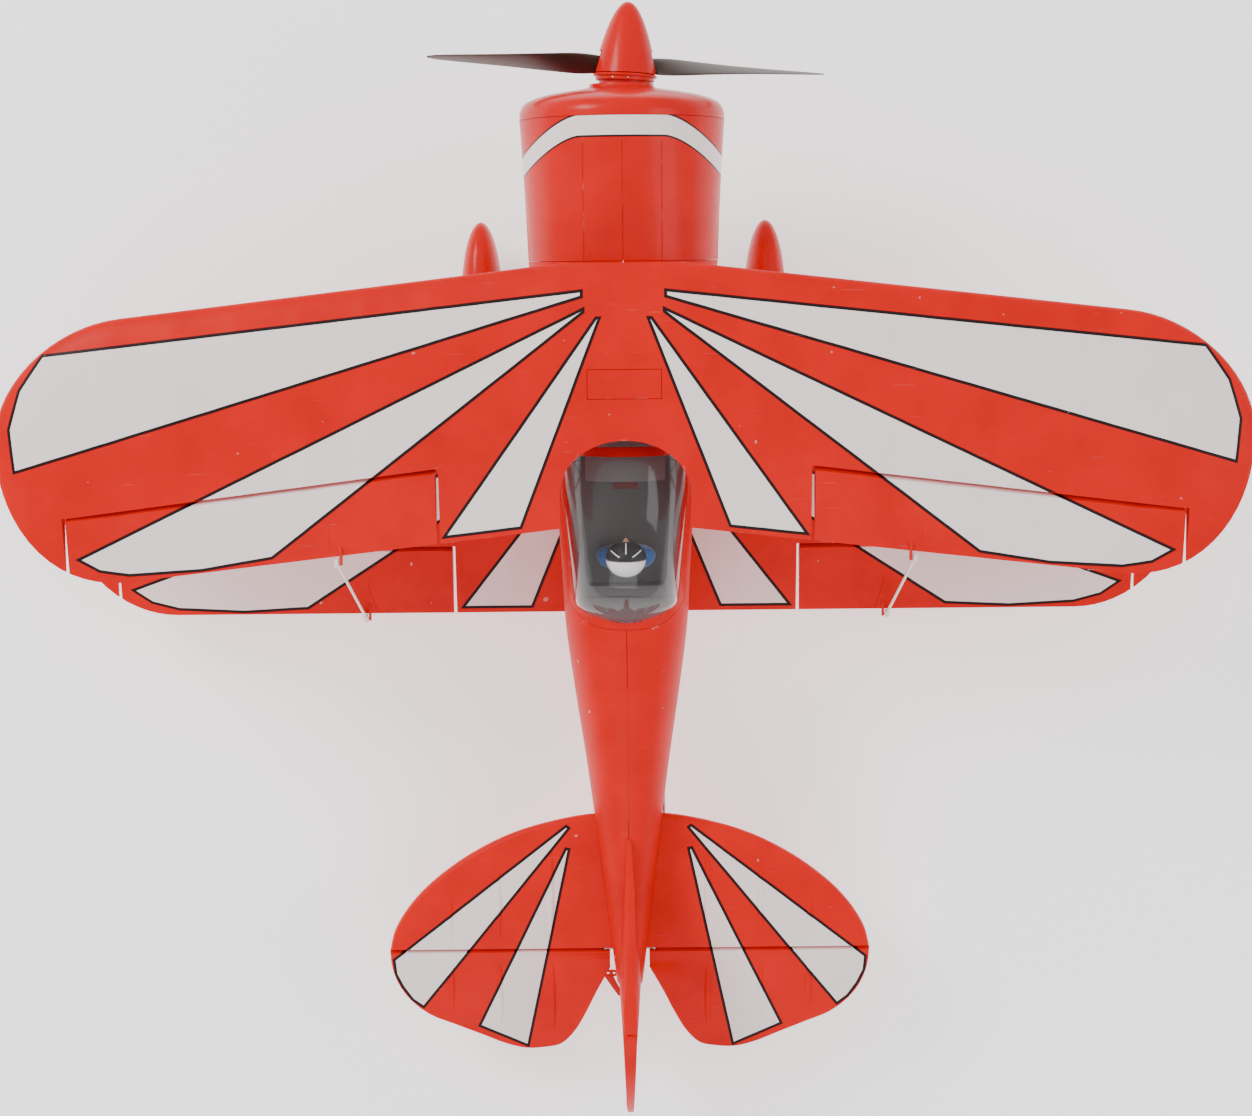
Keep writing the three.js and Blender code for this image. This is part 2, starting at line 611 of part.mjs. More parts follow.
function spinner() {
  const { back, length, wall } = SPINNER;
  const outer = [0, 0.2, 0.4, 0.58, 0.74, 0.87, 0.96, 0.995].map((s) =>
    [spinnerRadius(length * s), back + 1.8 + length * s * 0.966]);
  const inner = outer.filter((_, i) => i % 2 === 0).map(([r, z]) => [r - wall, z]).reverse();
  const shell = turned([...outer, [0, back + length], [0, back + length * 0.88], ...inner, outer[0]]);
  const slot = box(8, 30, -6.5, 9, back, back + 17);
  return cut(shell, slot, slot.rotate([0, 0, 180]));
}

function spinnerBackplate() {
  const { back, radius } = SPINNER;
  const disc = turned([[0, back - 1.2], [radius, back - 1.2], [radius, back + 1.4], [0, back + 1.4]]);
  return cut(disc, rod([0, 0, back - 5], [0, 0, back + 5], 3.4));
}

/** Two blades with the right twist for their pitch, on a flat hub. */
function propeller() {
  const { radius, centre, pitch, hubRadius } = PROP;
  const chords = [[0.06, 10, 6], [0.14, 15, 5], [0.25, 23, 3.8], [0.4, 26.5, 3], [0.6, 25, 2.3],
    [0.78, 20.5, 1.8], [0.9, 15.5, 1.4], [0.97, 10, 1.1], [1, 4, 0.8]];
  const rings = chords.map(([share, chord, thick]) => {
    const r = radius * share;
    const twist = Math.min(Math.atan(pitch / (2 * Math.PI * r)), 0.85);
    const section = [[-0.5, 0], [-0.3, 0.35], [0.1, 0.62], [0.38, 0.4], [0.5, 0], [0.38, -0.3],
      [0.1, -0.38], [-0.3, -0.25]];
    return section.map(([along, up]) => {
      const [u, v] = [along * chord, up * thick];
      const across = u * Math.cos(twist) - v * Math.sin(twist);
      return [r, across, centre + u * Math.sin(twist) + v * Math.cos(twist)];
    });
  });
  const blade = loft(rings, acrossX);
  const hub = rod([0, 0, centre - 5], [0, 0, centre + 5], hubRadius, 24);
  return cut(join(hub, blade, blade.rotate([0, 0, 180])),
    rod([0, 0, centre - 9], [0, 0, centre + 9], 3.4));
}

/** Turning can of the motor with its shaft. */
function motorBell() {
  const can = turned([[0, 40], [13, 40], [15.5, 36], [15.5, 11], [14, 11], [14, 34], [0, 34]]);
  return join(can, rod([0, 0, 33], [0, 0, PROP.centre + 12], 3, 16));
}

/** Fixed core of the motor with its base plate. */
function motorStator(wallZ) {
  const core = turned([[0, 8], [12.8, 8], [12.8, 31], [0, 31]]);
  return join(core, rod([0, 0, wallZ], [0, 0, 9], 14, 24), rod([0, 0, wallZ], [0, 0, wallZ + 3], 19, 24));
}

// ---- Assembly -----------------------------------------------------------------------------

const aircraft = new THREE.Group();
aircraft.rotation.x = -STANCE;
aircraft.position.set(0, CENTRE_SHIFT_Y, LIFT);

const add = (name, body, finish, group = aircraft) => group.add(piece(name, body, finish));

const upperBlank = wingBlank(UPPER_WING);
const lowerBlank = wingBlank(LOWER_WING);
const bothSides = [['left', LEFT], ['right', RIGHT]];

// Fuselage halves, glued along the centre line.
const saddle = join(wingBlank(LOWER_WING, 0.4), box(-80, 80, -130.8, 48.4, -100, -60));
const tubPlan = (grow) => [[33 + grow, -98 - grow], [33 + grow, 4], [28 + grow, 16 + grow],
  [-28 - grow, 16 + grow], [-33 - grow, 4], [-33 - grow, -98 - grow]];
const hull = cut(
  join(bodyBlank(), noseBlock(0)),
  bodyBlank(-WALL, STATIONS[0].y + WALL, CAVITY_END), noseBlock(-WALL),
  saddle, hatchSpace(0), stabBlank(GAP),
  box(16, 23.5, 150, 250, -24, -17),
  box(-28.8, -24.4, 110, 205, -18.6, -12.8),
  rod([-30, ELEVATOR_HINGE_Y, 0], [30, ELEVATOR_HINGE_Y, 0], 1.9, 12),
);
const shelf = box(-70, 70, -211, -100, -42, -38.6);
for (const [word, side] of bothSides) {
  const half = box(side * 0.15, side * 90, -300, 400, -120, 150);
  const shell = join(hull, shelf.intersect(bodyBlank(-WALL + 1, -213, CAVITY_END)));
  add(`fuselage_${word}`, shell.intersect(half), 'redFoam');
}

// Cowl: a skin from the round nose bowl to the fuselage, and the bowl with its two air inlets.
const cowlRings = (grow) => [[COWL_FRONT + GAP, 0], [-277, 0.45], [STATIONS[0].y - GAP, 1]]
  .map(([y, share]) => {
    const mix = (a, b) => a + (b - a) * share;
    const first = STATIONS[0];
    return bodyRing(y, mix(COWL_RADIUS, first.half) + grow, mix(COWL_RADIUS, first.top) + grow,
      mix(-COWL_RADIUS, first.bottom) - grow, mix(2, first.square), 36);
  });
const stretched = (rings) => rings.map((ring, i) => {
  const shift = i === 0 ? -3 : 3 * Number(i === rings.length - 1);
  return ring.map(([x, y, z]) => [x, y + shift, z]);
});
add('cowl', cut(loft(cowlRings(0), acrossY), loft(stretched(cowlRings(-COWL_WALL)), acrossY)),
  'redPlastic');

const BOWL_PROFILE = [[COWL_RADIUS, 0], [71.8, 6], [69.5, 10.5], [65, 13.5], [58, 16], [46, 18.5],
  [34, 20.5], [26, 22], [23, 23.5], [22.5, 25]];
const bowlInside = BOWL_PROFILE.filter((_, i) => i % 2 === 0)
  .map(([r, h]) => [r - COWL_WALL, Math.max(h - COWL_WALL, 0)]);
const bowlShell = turned([...BOWL_PROFILE, [20.3, 25], ...bowlInside.reverse(),
  BOWL_PROFILE[0]], 30);
const inlet = (side) => {
  const ring = Array.from({ length: 14 }, (_, i) => {
    const angle = (i / 14) * 2 * Math.PI;
    return [side * 46 + 13.5 * Math.cos(angle), 4 + 17 * Math.sin(angle)];
  });
  return prismZ(ring, 5, 40);
};
const bowl = new THREE.Group();
bowl.position.set(0, COWL_FRONT, 0);
bowl.rotation.x = Math.PI / 2;
add('nose_bowl', cut(bowlShell, inlet(LEFT), inlet(RIGHT)), 'redPlastic', bowl);
aircraft.add(bowl);

const wallRing = (y) => bodyRing(y, FIREWALL.half, FIREWALL.top, FIREWALL.bottom, 2.6, 32);
add('firewall', loft([wallRing(FIREWALL.back - FIREWALL.thickness), wallRing(FIREWALL.back)], acrossY),
  'plywood');

// Power unit on the thrust line, turned a little to the right.
const thrustLine = new THREE.Group();
thrustLine.position.set(0, THRUST_PIVOT_Y, 0);
thrustLine.rotation.z = -RIGHT_THRUST;
const motorAxis = new THREE.Group();
motorAxis.rotation.x = Math.PI / 2;
thrustLine.add(motorAxis);
aircraft.add(thrustLine);
const wallFace = FIREWALL.back - FIREWALL.thickness;
add('motor_stator', motorStator(THRUST_PIVOT_Y - wallFace + 1.6), 'copper', motorAxis);
add('motor_bell', motorBell(), 'blackPlastic', motorAxis);
add('spinner_backplate', spinnerBackplate(), 'redPlastic', motorAxis);
add('propeller', propeller(), 'blackPlastic', motorAxis);
add('spinner', spinner(), 'redPlastic', motorAxis);

// Wings.
const cutoutShape = Array.from({ length: 25 }, (_, i) => {
  const angle = Math.PI + (i / 24) * Math.PI;
  return [CUTOUT.halfWidth * Math.cos(angle), CUTOUT.centreY + CUTOUT.depth * Math.sin(angle)];
});
const cutout = prismZ([...cutoutShape, [CUTOUT.halfWidth, 20], [-CUTOUT.halfWidth, 20]], 60, 140);
const platePocket = (inset) => box(-WING_PLATE.halfWidth + inset, WING_PLATE.halfWidth - inset,
  WING_PLATE.front + inset, WING_PLATE.back - inset, WING_PLATE.floor + inset, 140);
add('upper_wing', cut(upperBlank, cutout, platePocket(0), aileronBay(UPPER_AILERON, LEFT),
  aileronBay(UPPER_AILERON, RIGHT)), 'redFoam');
add('wing_plate', upperBlank.intersect(platePocket(GAP)), 'redPlastic');

const belly = bodyBlank().intersect(box(-80, 80, -130.4, 48, -100, -60.3));
const servoBay = (side) => box(side * 204.5, side * 225.5, -71, -43, -90, -51);
add('lower_wing', cut(join(lowerBlank, belly), aileronBay(LOWER_AILERON, LEFT),
  aileronBay(LOWER_AILERON, RIGHT), servoBay(LEFT), servoBay(RIGHT)), 'redFoam');

for (const [word, side] of bothSides) {
  add(`upper_aileron_${word}`, aileron(UPPER_AILERON, side, upperBlank, false), 'redFoam');
  add(`lower_aileron_${word}`, aileron(LOWER_AILERON, side, lowerBlank, true), 'redFoam');

  const [low, high] = [linkBall(LOWER_AILERON, side), linkBall(UPPER_AILERON, side)];
  add(`aileron_link_${word}`, eyeRod([low.x, low.y, low.z], [high.x, high.y, high.z], [1, 0, 0], 1.1),
    'whitePlastic');

  const { y, z } = SERVO_SHAFT;
  const hornZ = hingeHeight(LOWER_AILERON) + HORN_DROP;
  const rodX = side * (HORN_X + EYE_OFFSET);
  const [near, far] = [side * SERVO_CASE.inner, side * SERVO_CASE.outer];
  add(`aileron_servo_${word}`, join(
    box(near, far, y - SERVO_CASE.half, y + SERVO_CASE.half + 0.5, z - 8.5, z + 7),
    box(near, far, y - SERVO_CASE.ears, y + SERVO_CASE.ears, z - 1.5, z + 1.5),
    rod([far - side * 0.5, y, z], [far + side * 0.6, y, z], 3)), 'blackPlastic');
  add(`aileron_servo_arm_${word}`, join(bladeX(side * HORN_X, [y, z], [y, z + HORN_DROP], 3.4, 2.4),
    pinX(side * HORN_X, y, z + HORN_DROP, side)), 'whitePlastic');
  add(`aileron_pushrod_${word}`, eyeRod([rodX, y, z + HORN_DROP], [rodX, LOWER_AILERON.hingeY, hornZ],
    [1, 0, 0], 0.8), 'steel');
}

// Struts: the wings and the deck trim their ends.
const upperKeepOut = wingBlank(UPPER_WING, GAP);
const lowerKeepOut = wingBlank(LOWER_WING, GAP);
const deckKeepOut = bodyBlank(GAP);
for (const [word, side] of bothSides) {
  const cabane = strutN(side * 40, side * 34, [[-176, 57], [-182, 91]], [[-130, 56], [-126, 92]], 2.4);
  add(`cabane_${word}`, cut(cabane, upperKeepOut, deckKeepOut), 'redPlastic');
  const strut = strutN(side * 290, side * 290, [[-104, -45], [-158, 91.5]], [[-28, -45], [-84, 93]], 3.2);
  add(`interplane_strut_${word}`, cut(strut, upperKeepOut, lowerKeepOut), 'redPlastic');
}

// Canopy: frame with its front hoop, and the glass bubble standing in it.
const frameBlank = bodyBlank().intersect(hatchSpace(-0.4));
const hoopBlank = bubble(-GLASS_WALL - GAP, 37).intersect(box(-60, 60, -88, -82, 36, 120));
const hoop = cut(hoopBlank, bubble(-GLASS_WALL - 4, 30));
const frameRing = cut(frameBlank, bubble(GAP, 30));
const hoopFoot = (side) => box(side * 35.5, side * 44.5, -88, -82, 36.5, 37.9);
add('canopy_frame', join(frameRing, hoop, hoopFoot(LEFT), hoopFoot(RIGHT)), 'redPlastic');
add('canopy_glass', cut(bubble(0, 38.2), bubble(-GLASS_WALL, 30),
  box(-60, 60, 0, 60, 30, 38).add(prismX([[22.6, 30], [60, 30], [60, 74], [22.6, 36.6]], -60, 60))),
  'glass');

// Cockpit.
const tubFlange = prismZ([[48, -110], [48, 20], [-48, 20], [-48, -110]], 34.2, 35.6)
  .intersect(bodyBlank(-WALL - 0.5, -200, 200));
const tubShell = cut(join(prismZ(tubPlan(0), COCKPIT_FLOOR, 35.6), tubFlange),
  prismZ(tubPlan(-1.6), COCKPIT_FLOOR + 1.6, 50));
add('cockpit_tub', tubShell, 'cockpit');
const hood = prismY([[28, 36.5], [28, 48], [20, 56], [8, 59], [-8, 59], [-20, 56], [-28, 48],
  [-28, 36.5]], -84, -62);
add('instrument_panel', cut(hood, box(-24, 24, -80, -60, 30, 45)), 'cockpit');
const seat = COCKPIT_FLOOR + 1.9;
add('pilot_bust', join(ball([0, -8, 57], [18, 17, 19], 14), rod([0, -7, 32], [0, -7, 48], 8),
  box(-25, 25, -15, 3, seat, 30), ball([0, -6, 30], [28, 12, 12], 14).intersect(
    box(-30, 30, -30, 30, seat, 60))), 'pilot');

// Tail group.
const finBlank = prismX(FIN_OUTLINE, -30, 30).intersect(loft([
  [[-1.2, 186], [1.2, 186], [8.6, 300], [8.9, 316.2], [-8.9, 316.2], [-8.6, 300]],
  [[-0.8, 186], [0.8, 186], [4.2, 300], [4.4, 316.2], [-4.4, 316.2], [-4.2, 300]],
].map((plan, i) => plan.map(([x, y]) => [x, y, i === 0 ? -12 : 120])), acrossZ));
add('fin', cut(finBlank, deckKeepOut, stabBlank(GAP)), 'redFoam');
add('stabilizer', cut(stabBlank(),
  rod([-21, ELEVATOR_HINGE_Y, 0], [21, ELEVATOR_HINGE_Y, 0], 2.2, 12)), 'redFoam');
for (const [word, side] of bothSides) {
  const half = elevator(side);
  const hinge = ELEVATOR_HINGE_Y;
  const { x, drop } = ELEVATOR_HORN;
  const horn = join(bladeX(x, [hinge + 16, -2.5], [hinge, drop], 5, 3),
    pinX(x, hinge, drop, RIGHT));
  add(`elevator_${word}`, side === RIGHT ? join(half, horn) : half, 'redFoam');
}
const joinerPath = [[-21.2, 12], [-18, 12], [-18, 0], [18, 0], [18, 12], [21.2, 12]];
const joiner = joinerPath.slice(1).map(([x, dy], i) => {
  const [px, pdy] = joinerPath[i];
  return join(rod([px, ELEVATOR_HINGE_Y + pdy, 0], [x, ELEVATOR_HINGE_Y + dy, 0], 1.5, 8),
    ball([x, ELEVATOR_HINGE_Y + dy, 0], [1.5, 1.5, 1.5], 8));
});
add('elevator_joiner', join(...joiner), 'steel');

const rudderWedge = (() => {
  const tan = Math.tan(RUDDER_BEVEL);
  const front = RUDDER_HINGE_Y + 0.2;
  const plan = (half, tail) => [[0, front], [half, front + half * tan], [tail, 408], [-tail, 408],
    [-half, front + half * tan]];
  return loft([plan(8.8, 1.4).map(([x, y]) => [x, y, -30]), plan(4.6, 1.2).map(([x, y]) => [x, y, 124])],
    acrossZ);
})();
const hornGap = box(6, 14, 322, 345, RUDDER_HORN.z - 1.4, RUDDER_HORN.z + 1.4);
add('rudder', cut(prismX(RUDDER_OUTLINE, -20, 20).intersect(rudderWedge), hornGap), 'redFoam');
const hornZ = RUDDER_HORN.z;
const [armX, armY] = RUDDER_HORN.arm;
const hornTip = [armX, RUDDER_HINGE_Y + armY];
const flatBlade = (a, b, rootRadius, tipRadius) => join(
  rod([...a, hornZ - BLADE / 2], [...a, hornZ + BLADE / 2], rootRadius, 14),
  rod([...b, hornZ - BLADE / 2], [...b, hornZ + BLADE / 2], tipRadius, 14)).hull();
const pinDown = ([x, y]) => rod([x, y, hornZ], [x, y, hornZ - EYE_OFFSET - 2], PIN_RADIUS, 12);
const holes = [12, 16.5].map((x) => rod([x, hornTip[1], hornZ - 3], [x, hornTip[1], hornZ + 3], 1, 10));
add('rudder_horn', cut(join(flatBlade([12, hornTip[1]], hornTip, 2.5, 2.5),
  flatBlade([16, hornTip[1] + 2], [8, 334], 3, 1.8), pinDown(hornTip)), ...holes), 'redPlastic');

// Servos and rods inside the fuselage.
const rs = RUDDER_SERVO;
add('rudder_servo', join(box(rs.x - 20, rs.x + 4, rs.y - 6, rs.y + 6, -46, -22),
  rod([rs.x, rs.y, -22.5], [rs.x, rs.y, -19.2], 3)), 'blackPlastic');
add('rudder_servo_arm', join(flatBlade([rs.x, rs.y], [rs.x + armX, rs.y + armY], 3.6, 2.4),
  pinDown([rs.x + armX, rs.y + armY])), 'whitePlastic');
const rodZ = hornZ - EYE_OFFSET;
add('rudder_pushrod', eyeRod([rs.x + armX, rs.y + armY, rodZ], [...hornTip, rodZ], [0, 0, 1], 0.9),
  'steel');
const es = ELEVATOR_SERVO;
const eh = ELEVATOR_HORN;
add('elevator_servo', join(box(-22, -10, es.y - 6, es.y + 17, es.z - 6, es.z + 18),
  rod([-21, es.y, es.z], [-22.9, es.y, es.z], 3)), 'blackPlastic');
add('elevator_servo_arm', join(bladeX(eh.x, [es.y, es.z], [es.y, es.z + eh.drop], 3.6, 2.4),
  pinX(eh.x, es.y, es.z + eh.drop, RIGHT)), 'whitePlastic');
const elevatorRodX = eh.x - EYE_OFFSET;
add('elevator_pushrod', eyeRod([elevatorRodX, es.y, es.z + eh.drop],
  [elevatorRodX, ELEVATOR_HINGE_Y, eh.drop], [1, 0, 0], 0.9), 'steel');
add('battery', box(-17, 17, -206, -106, -38.2, -12), 'battery');
add('speed_controller', box(-15, 15, -258, -216, -40, -30), 'blackPlastic');
add('receiver', box(-14, 14, 24, 52, -20, -6), 'blackPlastic');

// Landing gear.
add('gear_mount', cut(box(-34, 34, AXLE.y - 15, AXLE.y + 15, -74.8, -71),
  bodyBlank(GAP)), 'plywood');
for (const [word, side] of bothSides) {
  add(`gear_leg_${word}`, gearLeg(side), 'aluminium');
  add(`wheel_pant_${word}`, wheelPant(side), 'redPlastic');
  add(`wheel_${word}`, wheel(side * TRACK_HALF, AXLE.y, AXLE.z, TYRE, AXLE.radius + GAP, 24), 'rubber');
}

// Tailwheel on its sprung bracket; the fork steers with the rudder.
const bracket = prismX([[262, -31.6], [304, -24.5], [326, -34], [346, -34], [346, -36], [325.4, -36],
  [304, -26.6], [262, -33.7]], -7, 7);
const forkTop = -36 - GAP;
add('tailwheel_bracket', cut(bracket, rod([0, TAIL_PIVOT_Y, -40], [0, TAIL_PIVOT_Y, -30], 1.9)),
  'aluminium');
const forkSide = [[TAIL_PIVOT_Y - 6, forkTop], [TAIL_PIVOT_Y + 7, forkTop],
  [TAIL_AXLE_Y + 3.5, TAIL_AXLE_Z - 1], [TAIL_AXLE_Y, TAIL_AXLE_Z - 3.5],
  [TAIL_AXLE_Y - 3.5, TAIL_AXLE_Z - 1]];
const forkSlot = box(-4.4, 4.4, TAIL_PIVOT_Y - 20, TAIL_AXLE_Y + 20, TAIL_AXLE_Z - 20, forkTop - 2);
const fork = cut(prismX(forkSide, -6, 6), forkSlot);
add('tailwheel_fork', join(fork, rod([0, TAIL_PIVOT_Y, forkTop - 1], [0, TAIL_PIVOT_Y, -33.4], 1.5),
  rod([0, TAIL_PIVOT_Y, -33.6], [0, TAIL_PIVOT_Y, -32.2], 3),
  rod([-5, TAIL_AXLE_Y, TAIL_AXLE_Z], [5, TAIL_AXLE_Y, TAIL_AXLE_Z], 1, 12)), 'steel');
add('tailwheel', wheel(0, TAIL_AXLE_Y, TAIL_AXLE_Z, TAIL_TYRE, 1 + GAP, 12), 'rubber');

export default aircraft;
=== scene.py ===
"""Foam sport biplane, dressed for a studio view.

Shapes are drawn in the aircraft's own axes, in millimetres: the nose points along -Y, the left wing
along +X, and the thrust line is at height 0. Stance turns them into the shared frame, in metres.
"""

import json
import logging
import math
from collections.abc import Callable, Iterable, Sequence
from dataclasses import dataclass, field
from enum import Enum
from typing import Any

import bmesh
import bpy
import numpy as np
from mathutils import Matrix, Vector

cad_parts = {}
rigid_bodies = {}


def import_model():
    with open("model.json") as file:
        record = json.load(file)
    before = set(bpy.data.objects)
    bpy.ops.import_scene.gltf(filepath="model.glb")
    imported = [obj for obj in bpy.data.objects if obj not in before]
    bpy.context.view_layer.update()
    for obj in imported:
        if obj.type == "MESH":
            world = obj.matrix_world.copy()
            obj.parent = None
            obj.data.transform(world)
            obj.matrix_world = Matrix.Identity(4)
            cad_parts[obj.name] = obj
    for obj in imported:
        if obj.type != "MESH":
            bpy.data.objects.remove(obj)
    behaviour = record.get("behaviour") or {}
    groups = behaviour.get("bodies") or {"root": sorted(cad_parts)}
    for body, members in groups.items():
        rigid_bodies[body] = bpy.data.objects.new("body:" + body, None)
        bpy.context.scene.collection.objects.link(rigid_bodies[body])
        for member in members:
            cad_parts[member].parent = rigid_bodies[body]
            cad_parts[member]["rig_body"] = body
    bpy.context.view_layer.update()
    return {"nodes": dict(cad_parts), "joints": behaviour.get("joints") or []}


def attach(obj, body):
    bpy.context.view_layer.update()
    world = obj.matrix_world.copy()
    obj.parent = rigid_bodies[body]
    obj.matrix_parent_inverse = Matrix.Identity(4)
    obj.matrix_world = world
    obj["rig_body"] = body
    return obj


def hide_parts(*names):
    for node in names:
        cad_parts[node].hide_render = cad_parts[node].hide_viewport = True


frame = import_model()

LOG = logging.getLogger("biplane")
SIDES = (("left", 1), ("right", -1))
# Gap round a moving surface in millimetres.
GAP = 0.3
# Sideways run of a hinge line's bevel for each millimetre of height.
HINGE_BEVEL = math.tan(math.radians(24))
# Distance in metres under which corners merge, and area in square metres of a face that shows rub.
MERGE = 2e-6
RUBBED_AREA = 4e-6
# Upward lean past which a face counts as part of the upper side.
TOP_LEAN = 0.12
# Angle in degrees past which an edge of a repeated detail is sharp.
REPEAT_SHARP = 40.0
Plan = Sequence[tuple[float, float]]


# ---- Placing


@dataclass(frozen=True)
class Stance:
    """How the aircraft stands on its wheels, read from the rudder's hinge."""

    rudder_hinge_y: float = 317.0

    def joint(self, name: str) -> dict[str, Any]:
        """Returns the record's joint of that name."""
        return next(j for j in frame["joints"] if j["name"] == name)

    def parts(self) -> tuple[float, float, float, float]:
        """Gives the turn and the shift.

        Returns:
            Cosine and sine of the nose-up angle, then the shift along Y and Z in millimetres.
        """
        hinge = self.joint("rudder_hinge")
        sin, cos = hinge["axis"][1], hinge["axis"][2]
        shift = hinge["pos_m"][1] * 1000 - self.rudder_hinge_y * cos
        lift = hinge["pos_m"][2] * 1000 + self.rudder_hinge_y * sin
        return cos, sin, shift, lift

    def place(self, points: np.ndarray) -> np.ndarray:
        """Turns aircraft millimetres into metres of the shared frame.

        Args:
            points: One point a row.

        Returns:
            The placed points.
        """
        cos, sin, shift, lift = self.parts()
        x, y, z = np.asarray(points, float).T
        return np.stack([x, y * cos + z * sin + shift, z * cos - y * sin + lift], 1) / 1000

    def mapping(self) -> tuple[tuple[float, float, float], tuple[float, float, float]]:
        """Gives the Mapping node that takes Object coordinates back to aircraft metres.

        Returns:
            Its location and its rotation.
        """
        cos, sin, shift, lift = self.parts()
        shift, lift = shift / 1000, lift / 1000
        back = (0.0, -(shift * cos - lift * sin), -(shift * sin + lift * cos))
        return back, (math.atan2(sin, cos), 0.0, 0.0)


STANCE = Stance()


# ---- Solids


class Joining(Enum):
    """Ways to combine two solids."""

    ADD = "UNION"
    CUT = "DIFFERENCE"
    MEET = "INTERSECT"


def linked(name: str, mesh: bpy.types.Mesh) -> bpy.types.Object:
    """Makes an object of a mesh and puts it in the scene.

    Args:
        name: The object's name.
        mesh: Its mesh.

    Returns:
        The new object.
    """
    made = bpy.data.objects.new(name, mesh)
    bpy.context.scene.collection.objects.link(made)
    return made


def settled(obj: bpy.types.Object) -> bpy.types.Mesh:
    """Reads an object's mesh with all its modifiers worked out.

    Args:
        obj: An object with live modifiers.

    Returns:
        A new plain mesh.
    """
    graph = bpy.context.evaluated_depsgraph_get()
    return bpy.data.meshes.new_from_object(obj.evaluated_get(graph), depsgraph=graph)


def scrap(*objects: bpy.types.Object) -> None:
    """Removes working objects and their meshes.

    Args:
        objects: What to remove.
    """
    for obj in objects:
        mesh = obj.data
        bpy.data.objects.remove(obj)
        bpy.data.meshes.remove(mesh)


@dataclass
class Solid:
    """A closed body in aircraft millimetres."""

    points: np.ndarray
    faces: list[tuple[int, ...]]

    @staticmethod
    def of(points: Iterable[Sequence[float]], faces: list[tuple[int, ...]]) -> "Solid":
        """Makes a solid whose faces all point outwards.

        Args:
            points: Its corners.
            faces: Rings of corner numbers, all wound the same way round the body.

        Returns:
            The solid.
        """
        array = np.asarray(list(points), float)
        volume = 0.0
        for face in faces:
            first = array[face[0]]
            for b, c in zip(face[1:], face[2:]):
                volume += first @ np.cross(array[b], array[c])
        return Solid(array, faces if volume > 0 else [tuple(reversed(f)) for f in faces])

    @staticmethod
    def read(mesh: bpy.types.Mesh) -> "Solid":
        """Returns the solid that a mesh holds."""
        points = np.array([v.co for v in mesh.vertices], float)
        return Solid(points, [tuple(p.vertices) for p in mesh.polygons])

    def mesh(self, points: np.ndarray | None = None) -> bpy.types.Mesh:
        """Makes a mesh.

        Args:
            points: Places to use in place of its own corners.

        Returns:
            The mesh.
        """
        made = bpy.data.meshes.new("work")
        made.from_pydata((self.points if points is None else points).tolist(), [], self.faces)
        made.update()
        return made

    def combine(self, other: "Solid", joining: Joining) -> "Solid":
        """Combines it with another solid.

        Args:
            other: The other solid.
            joining: How the two combine.

        Returns:
            The result.
        """
        host, tool = linked("host", self.mesh()), linked("tool", other.mesh())
        step = host.modifiers.new("combine", "BOOLEAN")
        step.operation = joining.value
        step.object = tool
        result = None
        for solver in ("MANIFOLD", "EXACT"):
            step.solver = solver
            mesh = settled(host)
            result = Solid.read(mesh)
            bpy.data.meshes.remove(mesh)
            unchanged = len(result.points) == len(self.points) and solver == "MANIFOLD"
            if len(result.faces) and not unchanged:
                break
        scrap(host, tool)
        return result

    def minus(self, *others: "Solid") -> "Solid":
        """Returns it with the other solids cut away."""
        rest = self
        for other in others:
            rest = rest.combine(other, Joining.CUT)
        return rest

    def plus(self, *others: "Solid") -> "Solid":
        """Returns it with the other solids added."""
        whole = self
        for other in others:
            whole = whole.combine(other, Joining.ADD)
        return whole

    def meet(self, other: "Solid") -> "Solid":
        """Returns what it shares with another solid."""
        return self.combine(other, Joining.MEET)

    def moved(self, x: float = 0, y: float = 0, z: float = 0) -> "Solid":
        """Returns it shifted."""
        return Solid(self.points + np.array([x, y, z]), self.faces)

    def turned(self, matrix: Matrix) -> "Solid":
        """Returns it turned by a rotation about the origin."""
        return Solid(self.points @ np.array(matrix.to_3x3()).T, self.faces)

    def beside(self, *others: "Solid") -> "Solid":
        """Returns it and others as one mesh, with nothing merged."""
        points, faces = [self.points], list(self.faces)
        start = len(self.points)
        for other in others:
            points.append(other.points)
            faces += [tuple(i + start for i in f) for f in other.faces]
            start += len(other.points)
        return Solid(np.concatenate(points), faces)


def loft(rings: Sequence[np.ndarray]) -> Solid:
    """Skins flat rings with equal point counts and closes both ends.

    Args:
        rings: The rings, in order.

    Returns:
        The solid.
    """
    count = len(rings[0])
    faces = []
    for r in range(len(rings) - 1):
        for i in range(count):
            a, b = r * count + i, r * count + (i + 1) % count
            faces.append((a, b, b + count, a + count))
    last = (len(rings) - 1) * count
    faces.append(tuple(reversed(range(count))))
    faces.append(tuple(range(last, last + count)))
    return Solid.of(np.concatenate(rings), faces)


def prism(axis: str, plan: Plan, low: float, high: float) -> Solid:
    """Pushes a flat outline along an axis.

    Args:
        axis: x takes (y, z) points and z takes (x, y) points.
        plan: The outline.
        low: Where it starts.
        high: Where it ends.

    Returns:
        The solid.
    """
    order = {"x": (2, 0, 1), "z": (0, 1, 2)}[axis]
    rings = []
    for level in (low, high):
        ring = np.array([(a, b, level) for a, b in plan], float)
        rings.append(ring[:, order])
    return loft(rings)


def box(x0: float, x1: float, y0: float, y1: float, z0: float, z1: float) -> Solid:
    """Returns a box between two corners, given in any order."""
    x0, x1 = sorted((x0, x1))
    y0, y1 = sorted((y0, y1))
    return prism("z", ((x0, y0), (x1, y0), (x1, y1), (x0, y1)), *sorted((z0, z1)))


